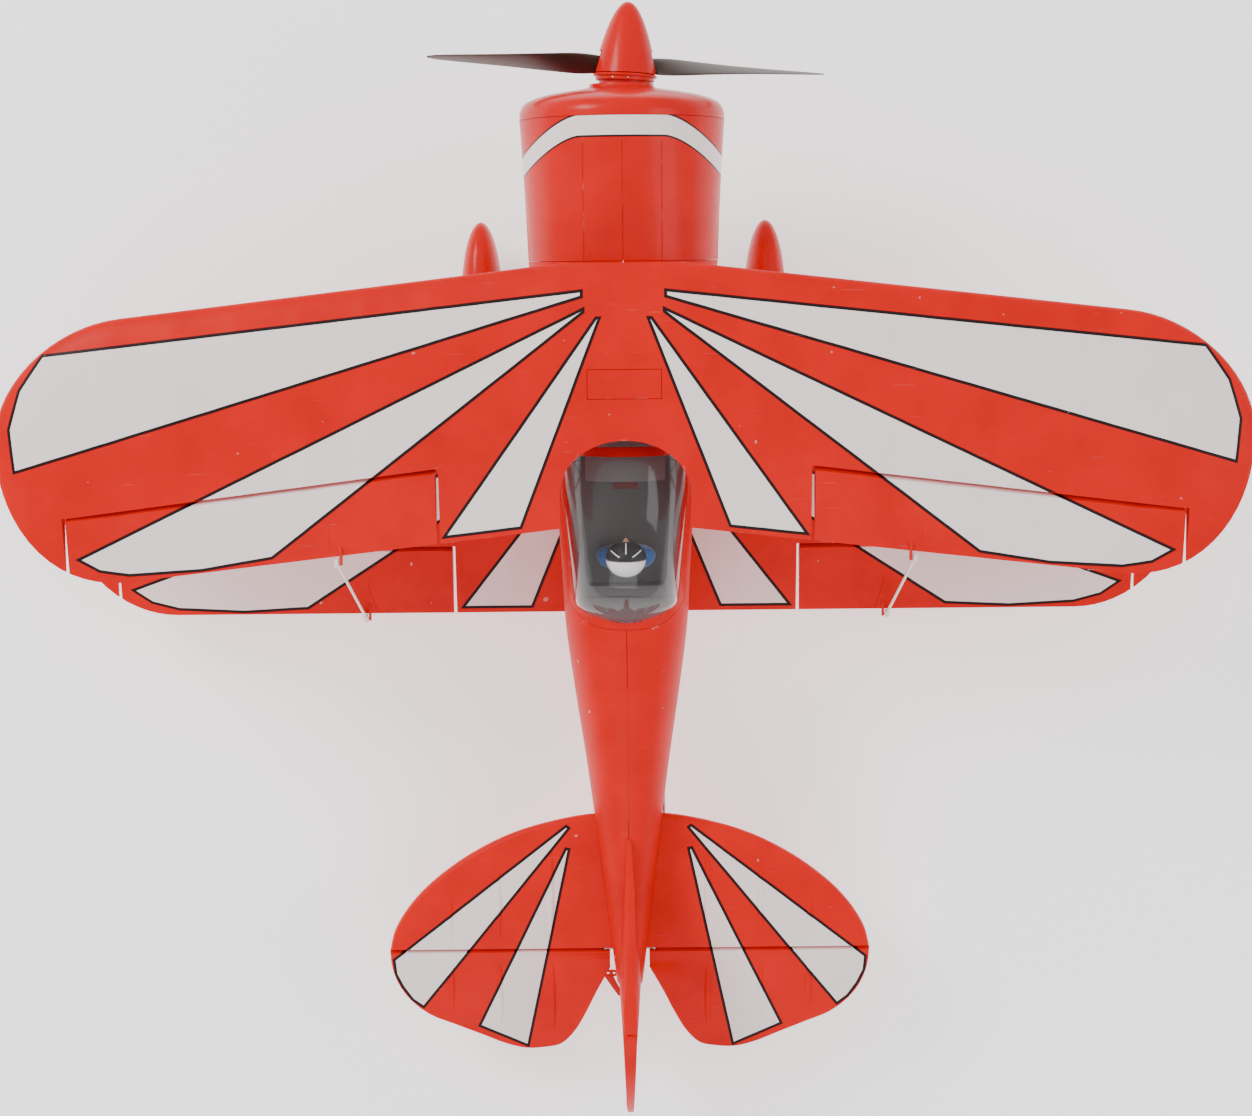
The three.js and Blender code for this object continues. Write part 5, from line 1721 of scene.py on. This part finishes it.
    def cockpit(self) -> None:
        """Makes the tub, the instrument hood with its dials, and the pilot."""
        SHOP.refined("cockpit_tub", GREY, 0.8, 40)
        SHOP.refined("instrument_panel", GREY, 0.8, 40)
        liner = self.bubble(-self.glass_wall - 0.6, 30).meet(box(-50, 50, -118, 21.4, 36.05, 36.4))
        opening = prism("z", ((-34, -99), (34, -99), (29, 17), (-29, 17)), 30, 40)
        SHOP.piece("cockpit_liner", liner.minus(opening), GREY)
        cover = prism("x", ((21, 35.1), (60, 74.1), (60, 74.35), (21, 35.35)), -50, 50)
        cover = cover.meet(self.bubble(-self.glass_wall - 0.6, 30))
        SHOP.piece("canopy_ramp_cover", cover, GREY)
        coaming = self.bubble(-6.6, 44).meet(box(-50, 50, -112, -84.3, 50, 57))
        SHOP.piece("panel_coaming", coaming, GREY, bevel=0.8)
        slab = prism("x", ((20.8, 34.75), (60, 73.95), (60, 72.8), (20.8, 33.6)), -50, 50)
        SHOP.piece("canopy_ramp_liner", slab.meet(self.blank(-5.2, -100, 100)), GREY)
        shelf = box(-8.8, 8.8, -61.8, -55.6, 44, 45.5)
        SHOP.piece("panel_shelf", shelf, DARK_PANEL_AND_GAP_SHADE, bevel=0.3, slot="cockpit_grey")
        dials = [rod((x, -61.6, z), (x, -62.6, z), r, sides=32) for x, z, r in (
            (-14, 47.5, 3.2), (-5, 49.5, 4.2), (6, 49.5, 4.2), (15, 47.5, 3.2))]
        SHOP.piece("panel_dials", dials[0].beside(*dials[1:]), DIAL, bevel=0.2)
        Pilot().build()

    def inside(self) -> None:
        """Dresses the radio gear inside the body."""
        for node in ("elevator_servo", "rudder_servo", "speed_controller", "receiver"):
            SHOP.refined(node, BLACK, 0.5, 35)
        SHOP.refined("battery", WRAP, 1.5, 35)
        for node in ("elevator_servo_arm", "rudder_servo_arm"):
            SHOP.refined(node, WHITE)
        for node in ("elevator_pushrod", "rudder_pushrod"):
            SHOP.refined(node, STEEL, 0.1)


@dataclass(frozen=True)
class Pilot:
    """The pilot figure: helmeted head with a plain face, on shoulders in a blue suit."""

    head: tuple[float, float, float] = (0.0, -8.0, 57.0)
    radii: tuple[float, float, float] = (12.4, 11.8, 15.0)

    def face(self) -> Solid:
        """Returns the head, with a nose, brows, eye hollows and a chin."""
        plain = ball((0, 0, 0), (1, 1, 1), 48)
        x, y, z = plain.points.T
        front = np.clip(-y, 0, 1)

        def lump(cx: float, cz: float, width: float, height: float) -> np.ndarray:
            """Returns a soft mound on the front."""
            return np.exp(-(((x - cx) / width) ** 2) - ((z - cz) / height) ** 2) * front

        swell = 1 + 0.24 * lump(0, -0.12, 0.12, 0.17) + 0.05 * lump(0, 0.22, 0.5, 0.1)
        swell -= 0.09 * (lump(-0.34, 0.06, 0.16, 0.1) + lump(0.34, 0.06, 0.16, 0.1))
        swell += 0.05 * lump(0, -0.72, 0.3, 0.2) + 0.04 * lump(0, -0.42, 0.26, 0.05)
        swell -= 0.04 * lump(0, -0.36, 0.24, 0.03)
        points = plain.points * swell[:, None] * np.array(self.radii) + np.array(self.head)
        return Solid(points, plain.faces)

    def build(self) -> None:
        """Makes the head, helmet, helmet piping, suit and collar."""
        cx, cy, cz = self.head
        SHOP.piece("pilot_head", self.face(), SKIN, "pilot_bust", sharp=60)
        shell = ball(self.head, (14.2, 12.9, 16.5), 40)
        opening = rod((cx, cy - 5, cz - 5.5), (cx, cy - 24, cz - 7), 10.2, 11.5, sides=48)
        room = ball(self.head, (12.9, 12.2, 15.4), 32)
        shell = shell.minus(opening, box(-30, 30, -40, 20, 20, cz - 11), room)
        back = shell.minus(box(-30, 30, -60, cy + 0.5, 0, 100))
        front = shell.meet(box(-30, 30, -60, cy - 0.1, 0, 100))
        SHOP.piece("pilot_helmet_back", back, HELMET_WHITE, sharp=50)
        SHOP.piece("pilot_helmet_front", front, HELMET_BLACK, sharp=50)
        seams = []
        for lean in (0.0, -0.95, 0.95):
            arc = []
            for a in np.linspace(0.4, 1.1, 14):
                out = Vector((math.sin(a) * math.sin(lean) * 14.4, -math.sin(a) * math.cos(lean) * 13.0,
                              math.cos(a) * 16.6))
                arc.append(tuple(Vector(self.head) + out))
            seams.append(arc)
        sweep("pilot_helmet_piping", seams, 0.45, 0.45, HELMET_WHITE)
        rows = ((20, 20, 8), (28, 21.4, 9), (34, 20.8, 9), (38, 17, 8.4), (41, 10, 7.6), (43, 7.6, 7))
        chest = loft([
            Fuselage.ring(0, w, d, -d, 2.4, 64)[:, (0, 2, 1)] * (1, 1, 0) + (0, -6, z) for z, w, d in rows
        ])
        SHOP.piece("pilot_suit", chest, SUIT, sharp=60)
        collar = rod((0, -7, 39), (0, -7, 46), 8.2, 7.4, sides=40)
        SHOP.piece("pilot_collar", collar, SUIT, bevel=0.8)


# ---- Nose


@dataclass(frozen=True)
class Nose:
    """Cowl, nose bowl, firewall, motor, propeller and spinner."""

    front: float = -312.0
    radius: float = 72.3
    wall: float = 2.2
    pivot_y: float = -294.0
    right_thrust: float = 3.0
    spinner_back: float = 48.5
    spinner_length: float = 51.4
    spinner_radius: float = 22.5
    prop_radius: float = 139.7
    prop_centre: float = 56.0
    pitch: float = 140.0
    bowl: Plan = (
        (72.3, 0), (71.8, 6), (69.5, 10.5), (65, 13.5), (58, 16), (46, 18.5), (34, 20.5), (26, 22),
        (23, 23.5), (22.5, 25),
    )

    def cowl_ring(self, share: float, y: float, grow: float) -> np.ndarray:
        """Draws the cowl's section, with three fine grooves along its top.

        Args:
            share: 0 at the round front, 1 where it meets the body.
            y: Where along the body.
            grow: How much larger it is; the grooves are only on the outside.

        Returns:
            The section's points.
        """
        _, half, top, low, square = FUSELAGE.stations[0]
        mixed = [a + (b - a) * share for a, b in (
            (self.radius, half), (self.radius, top), (-self.radius, low), (2, square))]
        mixed = [mixed[0] + grow, mixed[1] + grow, mixed[2] - grow, mixed[3]]
        angles = list(np.linspace(0, 2 * math.pi, 96, endpoint=False))
        for line in (-26.7, 0.0, 26.7):
            for off in (-0.55, -0.2, 0.2, 0.55):
                x = line + off
                base = math.acos(abs(x / mixed[0]) ** (mixed[3] / 2))
                angles.append(base if x > 0 else math.pi - base)
        angle = np.array(sorted(angles))
        c, s = np.cos(angle), np.sin(angle)
        x = mixed[0] * np.sign(c) * np.abs(c) ** (2 / mixed[3])
        z = np.where(s > 0, mixed[1], -mixed[2]) * np.sign(s) * np.abs(s) ** (2 / mixed[3])
        if grow == 0 and y > -296:
            for line in (-26.7, 0.0, 26.7):
                groove = (np.abs(x - line) < 0.3) & (z > 0)
                z = np.where(groove, z - 0.5, z)
        return np.stack([x, np.full(len(x), y), z], 1)

    def cowl(self) -> None:
        """Makes the cowl's skin."""
        def skin(grow: float, reach: float) -> Solid:
            """Returns a filled cowl, `reach` longer at both ends."""
            start, end = self.front + GAP - reach, FUSELAGE.stations[0][0] - GAP + reach
            rings = []
            for y in np.linspace(start, end, 26):
                share = float(np.clip((y - self.front) / (FUSELAGE.stations[0][0] - self.front), 0, 1))
                rings.append(self.cowl_ring(min(1.0, share * (1.35 - 0.35 * share)), y, grow))
            return loft(rings)

        hollow = skin(0, 0).minus(skin(-self.wall, 3))
        SHOP.piece("cowl_skin", hollow, COWL_PAINT, "cowl", sharp=24)
        spots = []
        for angle in (35, 145, 215, 325):
            c, s = math.cos(math.radians(angle)), math.sin(math.radians(angle))
            spots.append(((68.5 * c, -222, 66.8 * s if s > 0 else 71 * s), (c, 0, s)))
        screws("cowl_screws", spots, 1.5)

    def bowl_piece(self) -> None:
        """Makes the nose bowl with its two air inlets."""
        outer = curved_plan(self.bowl, 4)
        inner = [(r - self.wall, max(h - self.wall, 0)) for r, h in reversed(outer[::2])]
        shell = lathe([*outer, (20.3, 25), *inner], 112)
        for _, side in SIDES:
            ring = [(side * 46 + 13.5 * math.cos(a), 4 + 17 * math.sin(a))
                    for a in np.linspace(0, 2 * math.pi, 48, endpoint=False)]
            shell = shell.minus(prism("z", ring, 5, 40))
        turn = Matrix.Rotation(math.pi / 2, 3, "X")
        solid = shell.turned(turn).moved(0, self.front, 0)
        SHOP.piece("nose_bowl_shell", solid, GLOSS_RED, "nose_bowl", sharp=40)

    def on_axis(self, solid: Solid) -> Solid:
        """Returns a solid drawn about Z, moved on to the thrust line."""
        aim = Matrix.Rotation(-math.radians(self.right_thrust), 3, "Z")
        turn = aim @ Matrix.Rotation(math.pi / 2, 3, "X")
        return solid.turned(turn).moved(0, self.pivot_y, 0)

    def spinner(self) -> None:
        """Makes the spinner, its back plate and the ring of screws."""
        def radius(h: float) -> float:
            """Returns the outer radius at a height above the back."""
            cone = self.spinner_radius * max(0.0, 1 - (h / 55) ** 1.3) ** 0.6
            return min(cone, math.sqrt(10 * max(0.0, self.spinner_length - h)))

        back, length = self.spinner_back, self.spinner_length
        shares = [1 - (1 - i / 30) ** 1.6 for i in range(30)]
        outer = [(radius(length * s), back + 1.8 + length * s * 0.966) for s in shares if s < 0.996]
        inner = [(r - 1.4, z) for r, z in outer[::3] if r > 3][::-1]
        shell = lathe([(0, back + length * 0.88), *inner, *outer, (0, back + length)], 96)
        slot = box(8, 30, -6.5, 9, back, back + 17)
        half_turn = Matrix.Rotation(math.pi, 3, "Z")
        shell = shell.minus(slot, slot.turned(half_turn))
        SHOP.piece("spinner_cone", self.on_axis(shell), GLOSS_RED, "spinner", sharp=40, body="propeller_unit")
        r = self.spinner_radius
        rim = ((3.4, -6.8), (18.2, -6.8), (18.2, -3.4), (r - 2.2, -3.4), (r - 1.8, -3), (r - 1.8, -0.8),
               (r - 0.4, -0.6), (r, -0.2), (r, 0.9), (r - 0.5, 1.4), (3.4, 1.4))
        disc = lathe([(out, back + along) for out, along in rim], 96)
        SHOP.piece("spinner_plate", self.on_axis(disc), GLOSS_RED, "spinner_backplate", body="propeller_unit")
        spots = []
        for angle in (66, 96, 246, 276):
            c, s = math.cos(math.radians(angle)), math.sin(math.radians(angle))
            ends = [((r - 1.9 + k) * c, (r - 1.9 + k) * s, back - 1.9) for k in (0, 5)]
            start, out = self.on_axis(Solid(np.array(ends), [])).points
            spots.append((start, out - start))
        screws("spinner_screws", spots, 0.9, body="propeller_unit")

    def propeller(self) -> None:
        """Makes the two blades with the right twist for their pitch, and the hub."""
        chords = ((0.06, 10, 6), (0.14, 15, 5), (0.25, 23, 3.8), (0.4, 26.5, 3), (0.6, 25, 2.3),
                  (0.78, 20.5, 1.8), (0.9, 15.5, 1.4), (0.97, 10, 1.1), (1, 4, 0.8))
        rings = []
        for share in [*np.linspace(0.06, 0.9, 30), 0.93, 0.955, 0.975, 0.99, 1.0]:
            chord, thick = eased(chords, share)
            r = self.prop_radius * share
            twist = min(math.atan(self.pitch / (2 * math.pi * r)), 0.85)
            points = []
            for i in range(28):
                a = 2 * math.pi * i / 28
                u = chord * 0.5 * math.cos(a)
                rise = 0.62 if math.sin(a) > 0 else 0.38
                v = thick * rise * math.sin(a) * (1 + 0.25 * math.cos(a))
                across = u * math.cos(twist) - v * math.sin(twist)
                points.append((r, across, self.prop_centre + u * math.sin(twist) + v * math.cos(twist)))
            rings.append(np.array(points))
        blade = loft(rings)
        half_turn = Matrix.Rotation(math.pi, 3, "Z")
        centre = self.prop_centre
        hub = lathe(((3.4, centre - 5), (9.5, centre - 5), (10, centre - 4.5), (10, centre + 4.5),
                     (9.5, centre + 5), (3.4, centre + 5)), 64)
        whole = self.on_axis(hub.beside(blade, blade.turned(half_turn)))
        SHOP.piece("propeller_blades", whole, BLADE, "propeller", sharp=45, body="propeller_unit")

    def motor(self) -> None:
        """Makes the motor's turning can, its core with wire turns, and the firewall."""
        SHOP.refined("motor_bell", BLACK, 0.3, 40)
        SHOP.refined("motor_stator", COPPER, 0.3, 40)
        SHOP.refined("firewall", PLY, 0.3, 40)
        spots = []
        for angle in range(45, 360, 90):
            c, s = math.cos(math.radians(angle)), math.sin(math.radians(angle))
            spots.append(((40 * c, -268.4, -2 + 38 * s), (0, -1, 0)))
        screws("firewall_screws", spots, 1.8)

    def build(self) -> None:
        """Makes everything ahead of the fuselage."""
        self.cowl()
        self.bowl_piece()
        self.spinner()
        self.propeller()
        self.motor()


# ---- Tail


@dataclass(frozen=True)
class Tail:
    """Fin, rudder, stabiliser and elevators, with the tailwheel."""

    half: float = 4.5
    rib: tuple[float, float] = (6.4, 4.3)
    elevator_fall: float = 2.06
    rudder_bevel: float = 34.0
    elevator_y: float = 292.0
    rudder_y: float = 317.0
    stab_edge: Plan = (
        (0, 189), (30, 190), (57, 195), (84, 203), (115, 218), (137, 233), (154, 248), (167, 264),
        (175, 279), (178, 291.2),
    )
    elevator_edge: Plan = (
        (178.2, 292), (178, 299), (176, 310), (168, 326), (150, 342), (131, 350), (111, 358),
        (91, 366), (78, 369), (64, 368.5), (52, 366), (43, 358), (33, 342), (25, 326), (14.5, 307),
        (14.5, 292),
    )
    fin_plan: Plan = (
        (190, 30), (205, 44), (235, 72), (262, 96), (280, 109), (298, 116.5), (316.2, 118),
    )
    rudder_plan: Plan = (
        (317, 118), (330, 117), (347, 111), (366, 98), (383, 80), (396, 60), (404, 38), (405.7, 20),
        (402, 2), (392, -10), (370, -19), (345, -22), (317, -22),
    )

    @staticmethod
    def plate(outline: Plan, half: float, inset: float) -> Solid:
        """Makes a flat plate with rounded edges.

        Args:
            outline: Its plan.
            half: Half of its thickness.
            inset: How far its top and bottom outlines are pulled in.

        Returns:
            The solid.
        """
        array = np.array(outline, float)
        ahead, behind = np.roll(array, -1, axis=0), np.roll(array, 1, axis=0)
        along = ahead - behind
        area = np.sum(array[:, 0] * ahead[:, 1] - ahead[:, 0] * array[:, 1])
        inward = np.stack([-along[:, 1], along[:, 0]], 1) * np.sign(area)
        inward /= np.linalg.norm(inward, axis=1)[:, None]
        rings = []
        for step in range(-8, 9):
            level = math.sin(math.pi / 2 * step / 8)
            pull = inset * (1 - math.sqrt(max(0.0, 1 - level**2)))
            pulled = array + inward * pull
            rings.append(np.column_stack([pulled, np.full(len(array), level * half)]))
        return loft(rings)

    def stab(self, grow: float = 0.0) -> Solid:
        """Makes the stabiliser from tip to tip.

        Args:
            grow: How much thicker it is; then its outline is plain.

        Returns:
            The solid.
        """
        tip, back = self.stab_edge[-1]
        edge = curved_plan(self.stab_edge, 4)
        if grow == 0:
            edge.append((tip, back + 4))
        outline = [*edge, *((-x, y) for x, y in reversed(edge[1:]))]
        if grow > 0:
            blank = prism("z", outline, -self.half - grow, self.half + grow)
            return blank.plus(box(-40, 40, 186, 292, -self.half - grow, self.half + grow))
        return self.plate(outline, self.half, 3.5).meet(box(-200, 200, 100, back, -20, 20))

    def elevator(self, side: int) -> Solid:
        """Returns one elevator, with its bevelled nose and thin trailing edge."""
        hinge, slope, half = self.elevator_y, HINGE_BEVEL, self.half - 0.3
        front = hinge + 0.15
        wedge = ((front, 0), (front + half * slope, half), (hinge + 80, 1.4), (hinge + 80, -1.4),
                 (front + half * slope, -half))
        plan = [*curved_plan(self.elevator_edge[:-1], 3), self.elevator_edge[-1]]
        shape = self.plate([(side * x, y) for x, y in plan], half + 0.02, 2.2)
        notch = box(side * 14, side * 21, hinge - 2, hinge + 6, -2.2, 2.2)
        slot = box(side * 14, side * 21, hinge, hinge + 14.5, -2, 2)
        hole = rod((side * 14, hinge + 12, 0), (side * 22.9, hinge + 12, 0), 1.8)
        return shape.meet(prism("x", wedge, -200, 200)).minus(notch, slot, hole)

    def build(self) -> None:
        """Makes everything behind the fuselage."""
        groove = rod((-21, self.elevator_y, 0), (21, self.elevator_y, 0), 2.2)
        skin = self.stab()
        SHOP.piece("stabilizer_panel", skin.minus(groove), TAIL_PAINT, "stabilizer")
        # Dark strips in the elevators' hinge gaps: painted shade for the dark line where the gap falls in
        # shadow.
        strips = [box(s * 23, s * 177, 290.8, self.elevator_y + 0.1, -0.4, 0.4) for _, s in SIDES]
        SHOP.piece("stabilizer_hinge_shade_strips", strips[0].beside(strips[1]), DARK_PANEL_AND_GAP_SHADE)
        for word, side in SIDES:
            name = f"elevator_{word}"
            SHOP.piece(f"{name}_panel", self.elevator(side), TAIL_PAINT, name, body="elevator")
        x, hinge, drop = -24, self.elevator_y, -16
        horn = blade_x(x, (hinge + 16, -2.5), (hinge, drop), 5, 3)
        SHOP.piece("elevator_horn", horn, HORN_RED, bevel=0.2, body="elevator")
        pin = rod((x, hinge, drop), (x - 4.6, hinge, drop), 0.8)
        SHOP.piece("elevator_horn_pin", pin, STEEL, body="elevator")
        SHOP.refined("elevator_joiner", STEEL, 0.1)
        self.ribs()
        self.upright()
        self.wheel()

    def ribs(self) -> None:
        """Lays the soft ribs on the stabiliser and the elevators."""
        fixed: list[tuple[float, ...]] = []
        moving: dict[str, list[tuple[float, ...]]] = {word: [] for word, _ in SIDES}
        top, fall = self.half - 1.45, math.radians(self.elevator_fall)
        for x in (58, 97, 133):
            front = float(np.interp(x, *zip(*self.stab_edge))) + 12
            back = float(np.interp(x, *zip(*sorted(self.elevator_edge[2:13])))) - 6
            for word, side in SIDES:
                fixed.append((side * x, (front + 289) / 2, self.half - 1.15, 289 - front))
                middle = (297 + back) / 2
                moving[word].append((side * x, middle, top - (middle - 294) * math.tan(fall), back - 297))
        rib_row("stabilizer_ribs", fixed, *self.rib, "airframe")
        for word, _ in SIDES:
            rib_row(f"elevator_{word}_ribs", moving[word], *self.rib, "elevator", -fall)

    def upright(self) -> None:
        """Makes the fin and the rudder with its horn."""
        fin_edge = [*curved_plan(self.fin_plan, 4), (316.2, -10), (200, -10)]
        plans = (((-1.2, 186), (1.2, 186), (8.6, 300), (8.9, 316.2), (-8.9, 316.2), (-8.6, 300)),
                 ((-0.8, 186), (0.8, 186), (4.2, 300), (4.4, 316.2), (-4.4, 316.2), (-4.2, 300)))
        core = loft([np.array([(x, y, z) for x, y in plan]) for plan, z in zip(plans, (-12, 120))])
        fin = core.meet(prism("x", fin_edge, -30, 30))
        fin = fin.minus(FUSELAGE.blank(GAP), self.stab(GAP))
        SHOP.piece("fin_panel", fin, FOAM, "fin", bevel=0.9)
        # A dark strip in the gap between fin and rudder: painted shade, so the gap reads dark and the floor
        # does not show through it.
        strip = box(-0.4, 0.4, 315.2, self.rudder_y + 0.05, -9, 115)
        SHOP.piece("fin_hinge_shade_strip", strip, DARK_PANEL_AND_GAP_SHADE)
        slope, front = math.tan(math.radians(self.rudder_bevel)), self.rudder_y + 0.2

        def plan_at(half: float, back: float, z: float) -> np.ndarray:
            """Returns the rudder's section at a height."""
            shoulder = front + half * slope
            ring = ((0, front), (half, shoulder), (back, 408), (-back, 408), (-half, shoulder))
            return np.array([(x, y, z) for x, y in ring])

        wedge = loft([plan_at(8.8, 1.4, -30), plan_at(4.6, 1.2, 124)])
        edge = [*curved_plan(self.rudder_plan, 4)]
        rudder = wedge.meet(prism("x", edge, -20, 20)).minus(box(6, 14, 322, 345, -19.4, -16.6))
        SHOP.piece("rudder_panel", rudder, FOAM, "rudder", bevel=0.7, body="rudder")
        SHOP.refined("rudder_horn", HORN_RED, 0.2)

    def wheel(self) -> None:
        """Dresses the tailwheel, its fork and bracket."""
        SHOP.refined("tailwheel_bracket", ALUMINIUM, 0.2)
        SHOP.refined("tailwheel_fork", STEEL, 0.2)
        wheel_piece("tailwheel", "tailwheel", "tailwheel_spin", 9.0, 3.5, 1.3)


def wheel_piece(node: str, body: str, joint: str, radius: float, half: float, bore: float) -> None:
    """Makes a wheel: a rubber tyre with tread grooves on a white hub.

    Args:
        node: The CAD node it stands for.
        body: The body it turns with.
        joint: The joint it turns about.
        radius: The tyre's radius.
        half: Half of its width.
        bore: Radius of the hole.
    """
    cos, sin, shift, lift = STANCE.parts()
    x, y, z = (v * 1000 for v in STANCE.joint(joint)["pos_m"])
    y, z = y - shift, z - lift
    place = (x, y * cos - z * sin, y * sin + z * cos)
    round_off = min(half, radius * 0.4)
    profile = []
    for i in range(-12, 13):
        angle = i * math.pi / 24
        r = radius - round_off * (1 - math.cos(angle))
        groove = 0.02 * radius if i in (-4, 4, 0) else 0.0
        profile.append((r - groove, half * 0.95 * math.sin(angle)))
    rim = radius * 0.6
    turn = Matrix.Rotation(math.pi / 2, 3, "Y")
    tyre = lathe([(rim, -half * 0.7), *profile, (rim, half * 0.7)], 80)
    SHOP.piece(f"{node}_tyre", tyre.turned(turn).moved(*place), RUBBER, node, sharp=40, body=body)
    hub = lathe([(bore, -half), (radius * 0.2, -half), (radius * 0.25, -half * 0.6), (rim - 1, -half * 0.55),
                 (rim, -half * 0.7), (rim, half * 0.7), (rim - 1, half * 0.55), (radius * 0.25, half * 0.6),
                 (radius * 0.2, half), (bore, half)], 64)
    SHOP.piece(f"{node}_hub", hub.turned(turn).moved(*place), WHITE, sharp=30, body=body)


# ---- Landing gear


@dataclass(frozen=True)
class Gear:
    """Main landing gear: strap legs, wheels and pants."""

    track_half: float = 110.0
    y: float = -195.0
    z: float = -150.0

    def pant(self, side: int, grow: float) -> Solid:
        """Makes the pant's drop shape.

        Args:
            side: Left or right.
            grow: How much larger it is all round.

        Returns:
            The solid.
        """
        rings = []
        shares = [(1 - math.cos(math.pi * i / 40)) / 2 for i in range(41)]
        for i, s in enumerate(shares):
            nose = math.sqrt(max(0.0, 1 - ((0.5 - s) / 0.5) ** 2))
            share = max(nose if s < 0.5 else 1 - ((s - 0.5) / 0.5) ** 2 * 0.93, 0.04)
            end = -grow if i == 0 else grow if i == 40 else 0.0
            half, tall = max(16 * share + grow, 0.3), max(27 * share**0.8 + grow, 0.6)
            ring = Fuselage.ring(-244 + 124 * s + end, half, tall, -tall, 2.4, 56)
            rings.append(ring + (side * self.track_half, 0, -143 + 9 * max(0.0, s - 0.4)))
        return loft(rings)

    def build(self) -> None:
        """Makes both sides."""
        SHOP.refined("gear_mount", PLY, 0.3)
        spots = [((x, self.y + dy, -78), (0, 0, -1)) for x in (-22, 22) for dy in (-6, 6)]
        screws("gear_strap_screws", spots, 1.6)
        for word, side in SIDES:
            SHOP.refined(f"gear_leg_{word}", ALUMINIUM, 0.25)
            x = side * self.track_half
            well = box(x - 11, x + 11, self.y - 30, self.y + 30, -190, -150)
            hole = rod((side * 90, self.y, self.z), (x, self.y, self.z), 2.6)
            shell = self.pant(side, 0).minus(self.pant(side, -2), well, hole)
            name = f"wheel_pant_{word}"
            SHOP.piece(f"{name}_shell", shell, GLOSS_RED, name, sharp=40)
            wheel_piece(f"wheel_{word}", f"wheel_{word}", f"wheel_{word}_spin", 26.94, 8.0, 2.3)


FUSELAGE = Fuselage()
TAIL = Tail()


# ---- Studio


@dataclass(frozen=True)
class Studio:
    """Camera, floor and lights."""

    lens: float = 62.5
    place: tuple[float, float, float] = (0.0, 0.060, 1.7145)
    ahead: tuple[float, float, float] = (0.0, -0.0436, -0.99905)
    up: tuple[float, float, float] = (0.0, -0.99905, 0.0436)
    roll: float = -0.55
    glow: float = 0.9

    def camera(self) -> None:
        """Makes the camera, almost straight above the aircraft."""
        data = bpy.data.cameras.new("camera")
        data.lens = self.lens
        data.sensor_width = 36.0
        made = bpy.data.objects.new("camera", data)
        bpy.context.scene.collection.objects.link(made)
        back, up = -Vector(self.ahead), Vector(self.up)
        right = up.cross(back)
        turn = Matrix((right, up, back)).transposed().to_4x4()
        roll = Matrix.Rotation(math.radians(self.roll), 4, "Z")
        made.matrix_world = Matrix.Translation(self.place) @ turn @ roll
        bpy.context.scene.camera = made

    def light(self, name: str, place: Sequence[float], size: float, power: float) -> None:
        """Hangs a soft square light that looks at the aircraft.

        Args:
            name: Its name.
            place: Where it hangs.
            size: Its side in metres.
            power: Its power in watts.
        """
        data = bpy.data.lights.new(name, "AREA")
        data.shape, data.size, data.energy = "SQUARE", size, power
        made = bpy.data.objects.new(name, data)
        bpy.context.scene.collection.objects.link(made)
        made.location = place
        made.rotation_euler = (Vector((0, 0, 0.1)) - Vector(place)).to_track_quat("-Z", "Y").to_euler()

    def build(self) -> None:
        """Makes the floor, the lights and the sky."""
        mesh = Solid.of([(-40, -40, 0), (40, -40, 0), (40, 40, 0), (-40, 40, 0)], [(0, 1, 2, 3)]).mesh()
        floor = linked("floor", mesh)
        made = bpy.data.materials.new("pale_floor")
        made.use_nodes = True
        made.node_tree.nodes.clear()
        bench = Bench(made.node_tree)
        place = bench.node("ShaderNodeTexCoord").outputs["Object"]
        tone = bench.blend(bench.noise(place, 3.0), (0.93, 0.93, 0.93, 1.0), (0.9, 0.9, 0.9, 1.0))
        shader = bench.node("ShaderNodeBsdfPrincipled", {"Base Color": tone, "Roughness": 0.9})
        shader.inputs["Emission Color"].default_value = (1.0, 1.0, 1.0, 1.0)
        shader.inputs["Emission Strength"].default_value = self.glow
        bench.node("ShaderNodeOutputMaterial", {"Surface": shader.outputs[0]})
        mesh.materials.append(made)
        world = bpy.data.worlds.new("studio")
        world.use_nodes = True
        sky = world.node_tree.nodes["Background"]
        sky.inputs[0].default_value = (1.0, 1.0, 1.0, 1.0)
        sky.inputs[1].default_value = 0.85
        bpy.context.scene.world = world
        self.light("key", (1.7, -1.2, 2.2), 1.0, 46.0)
        self.light("fill", (-1.8, 0.1, 2.0), 1.3, 13.0)
        self.light("back", (0.2, 1.9, 1.7), 1.4, 12.0)


def main() -> None:
    """Builds the studio and the aircraft, in order."""
    logging.basicConfig(level=logging.INFO, format="%(name)s: %(message)s")
    studio = Studio()
    studio.camera()
    Nose().build()
    FUSELAGE.build()
    Wings().build()
    TAIL.build()
    Gear().build()
    studio.build()
    LOG.info("%d pieces made", len(SHOP.made))
    bpy.context.view_layer.update()


if __name__ == "__main__":
    main()
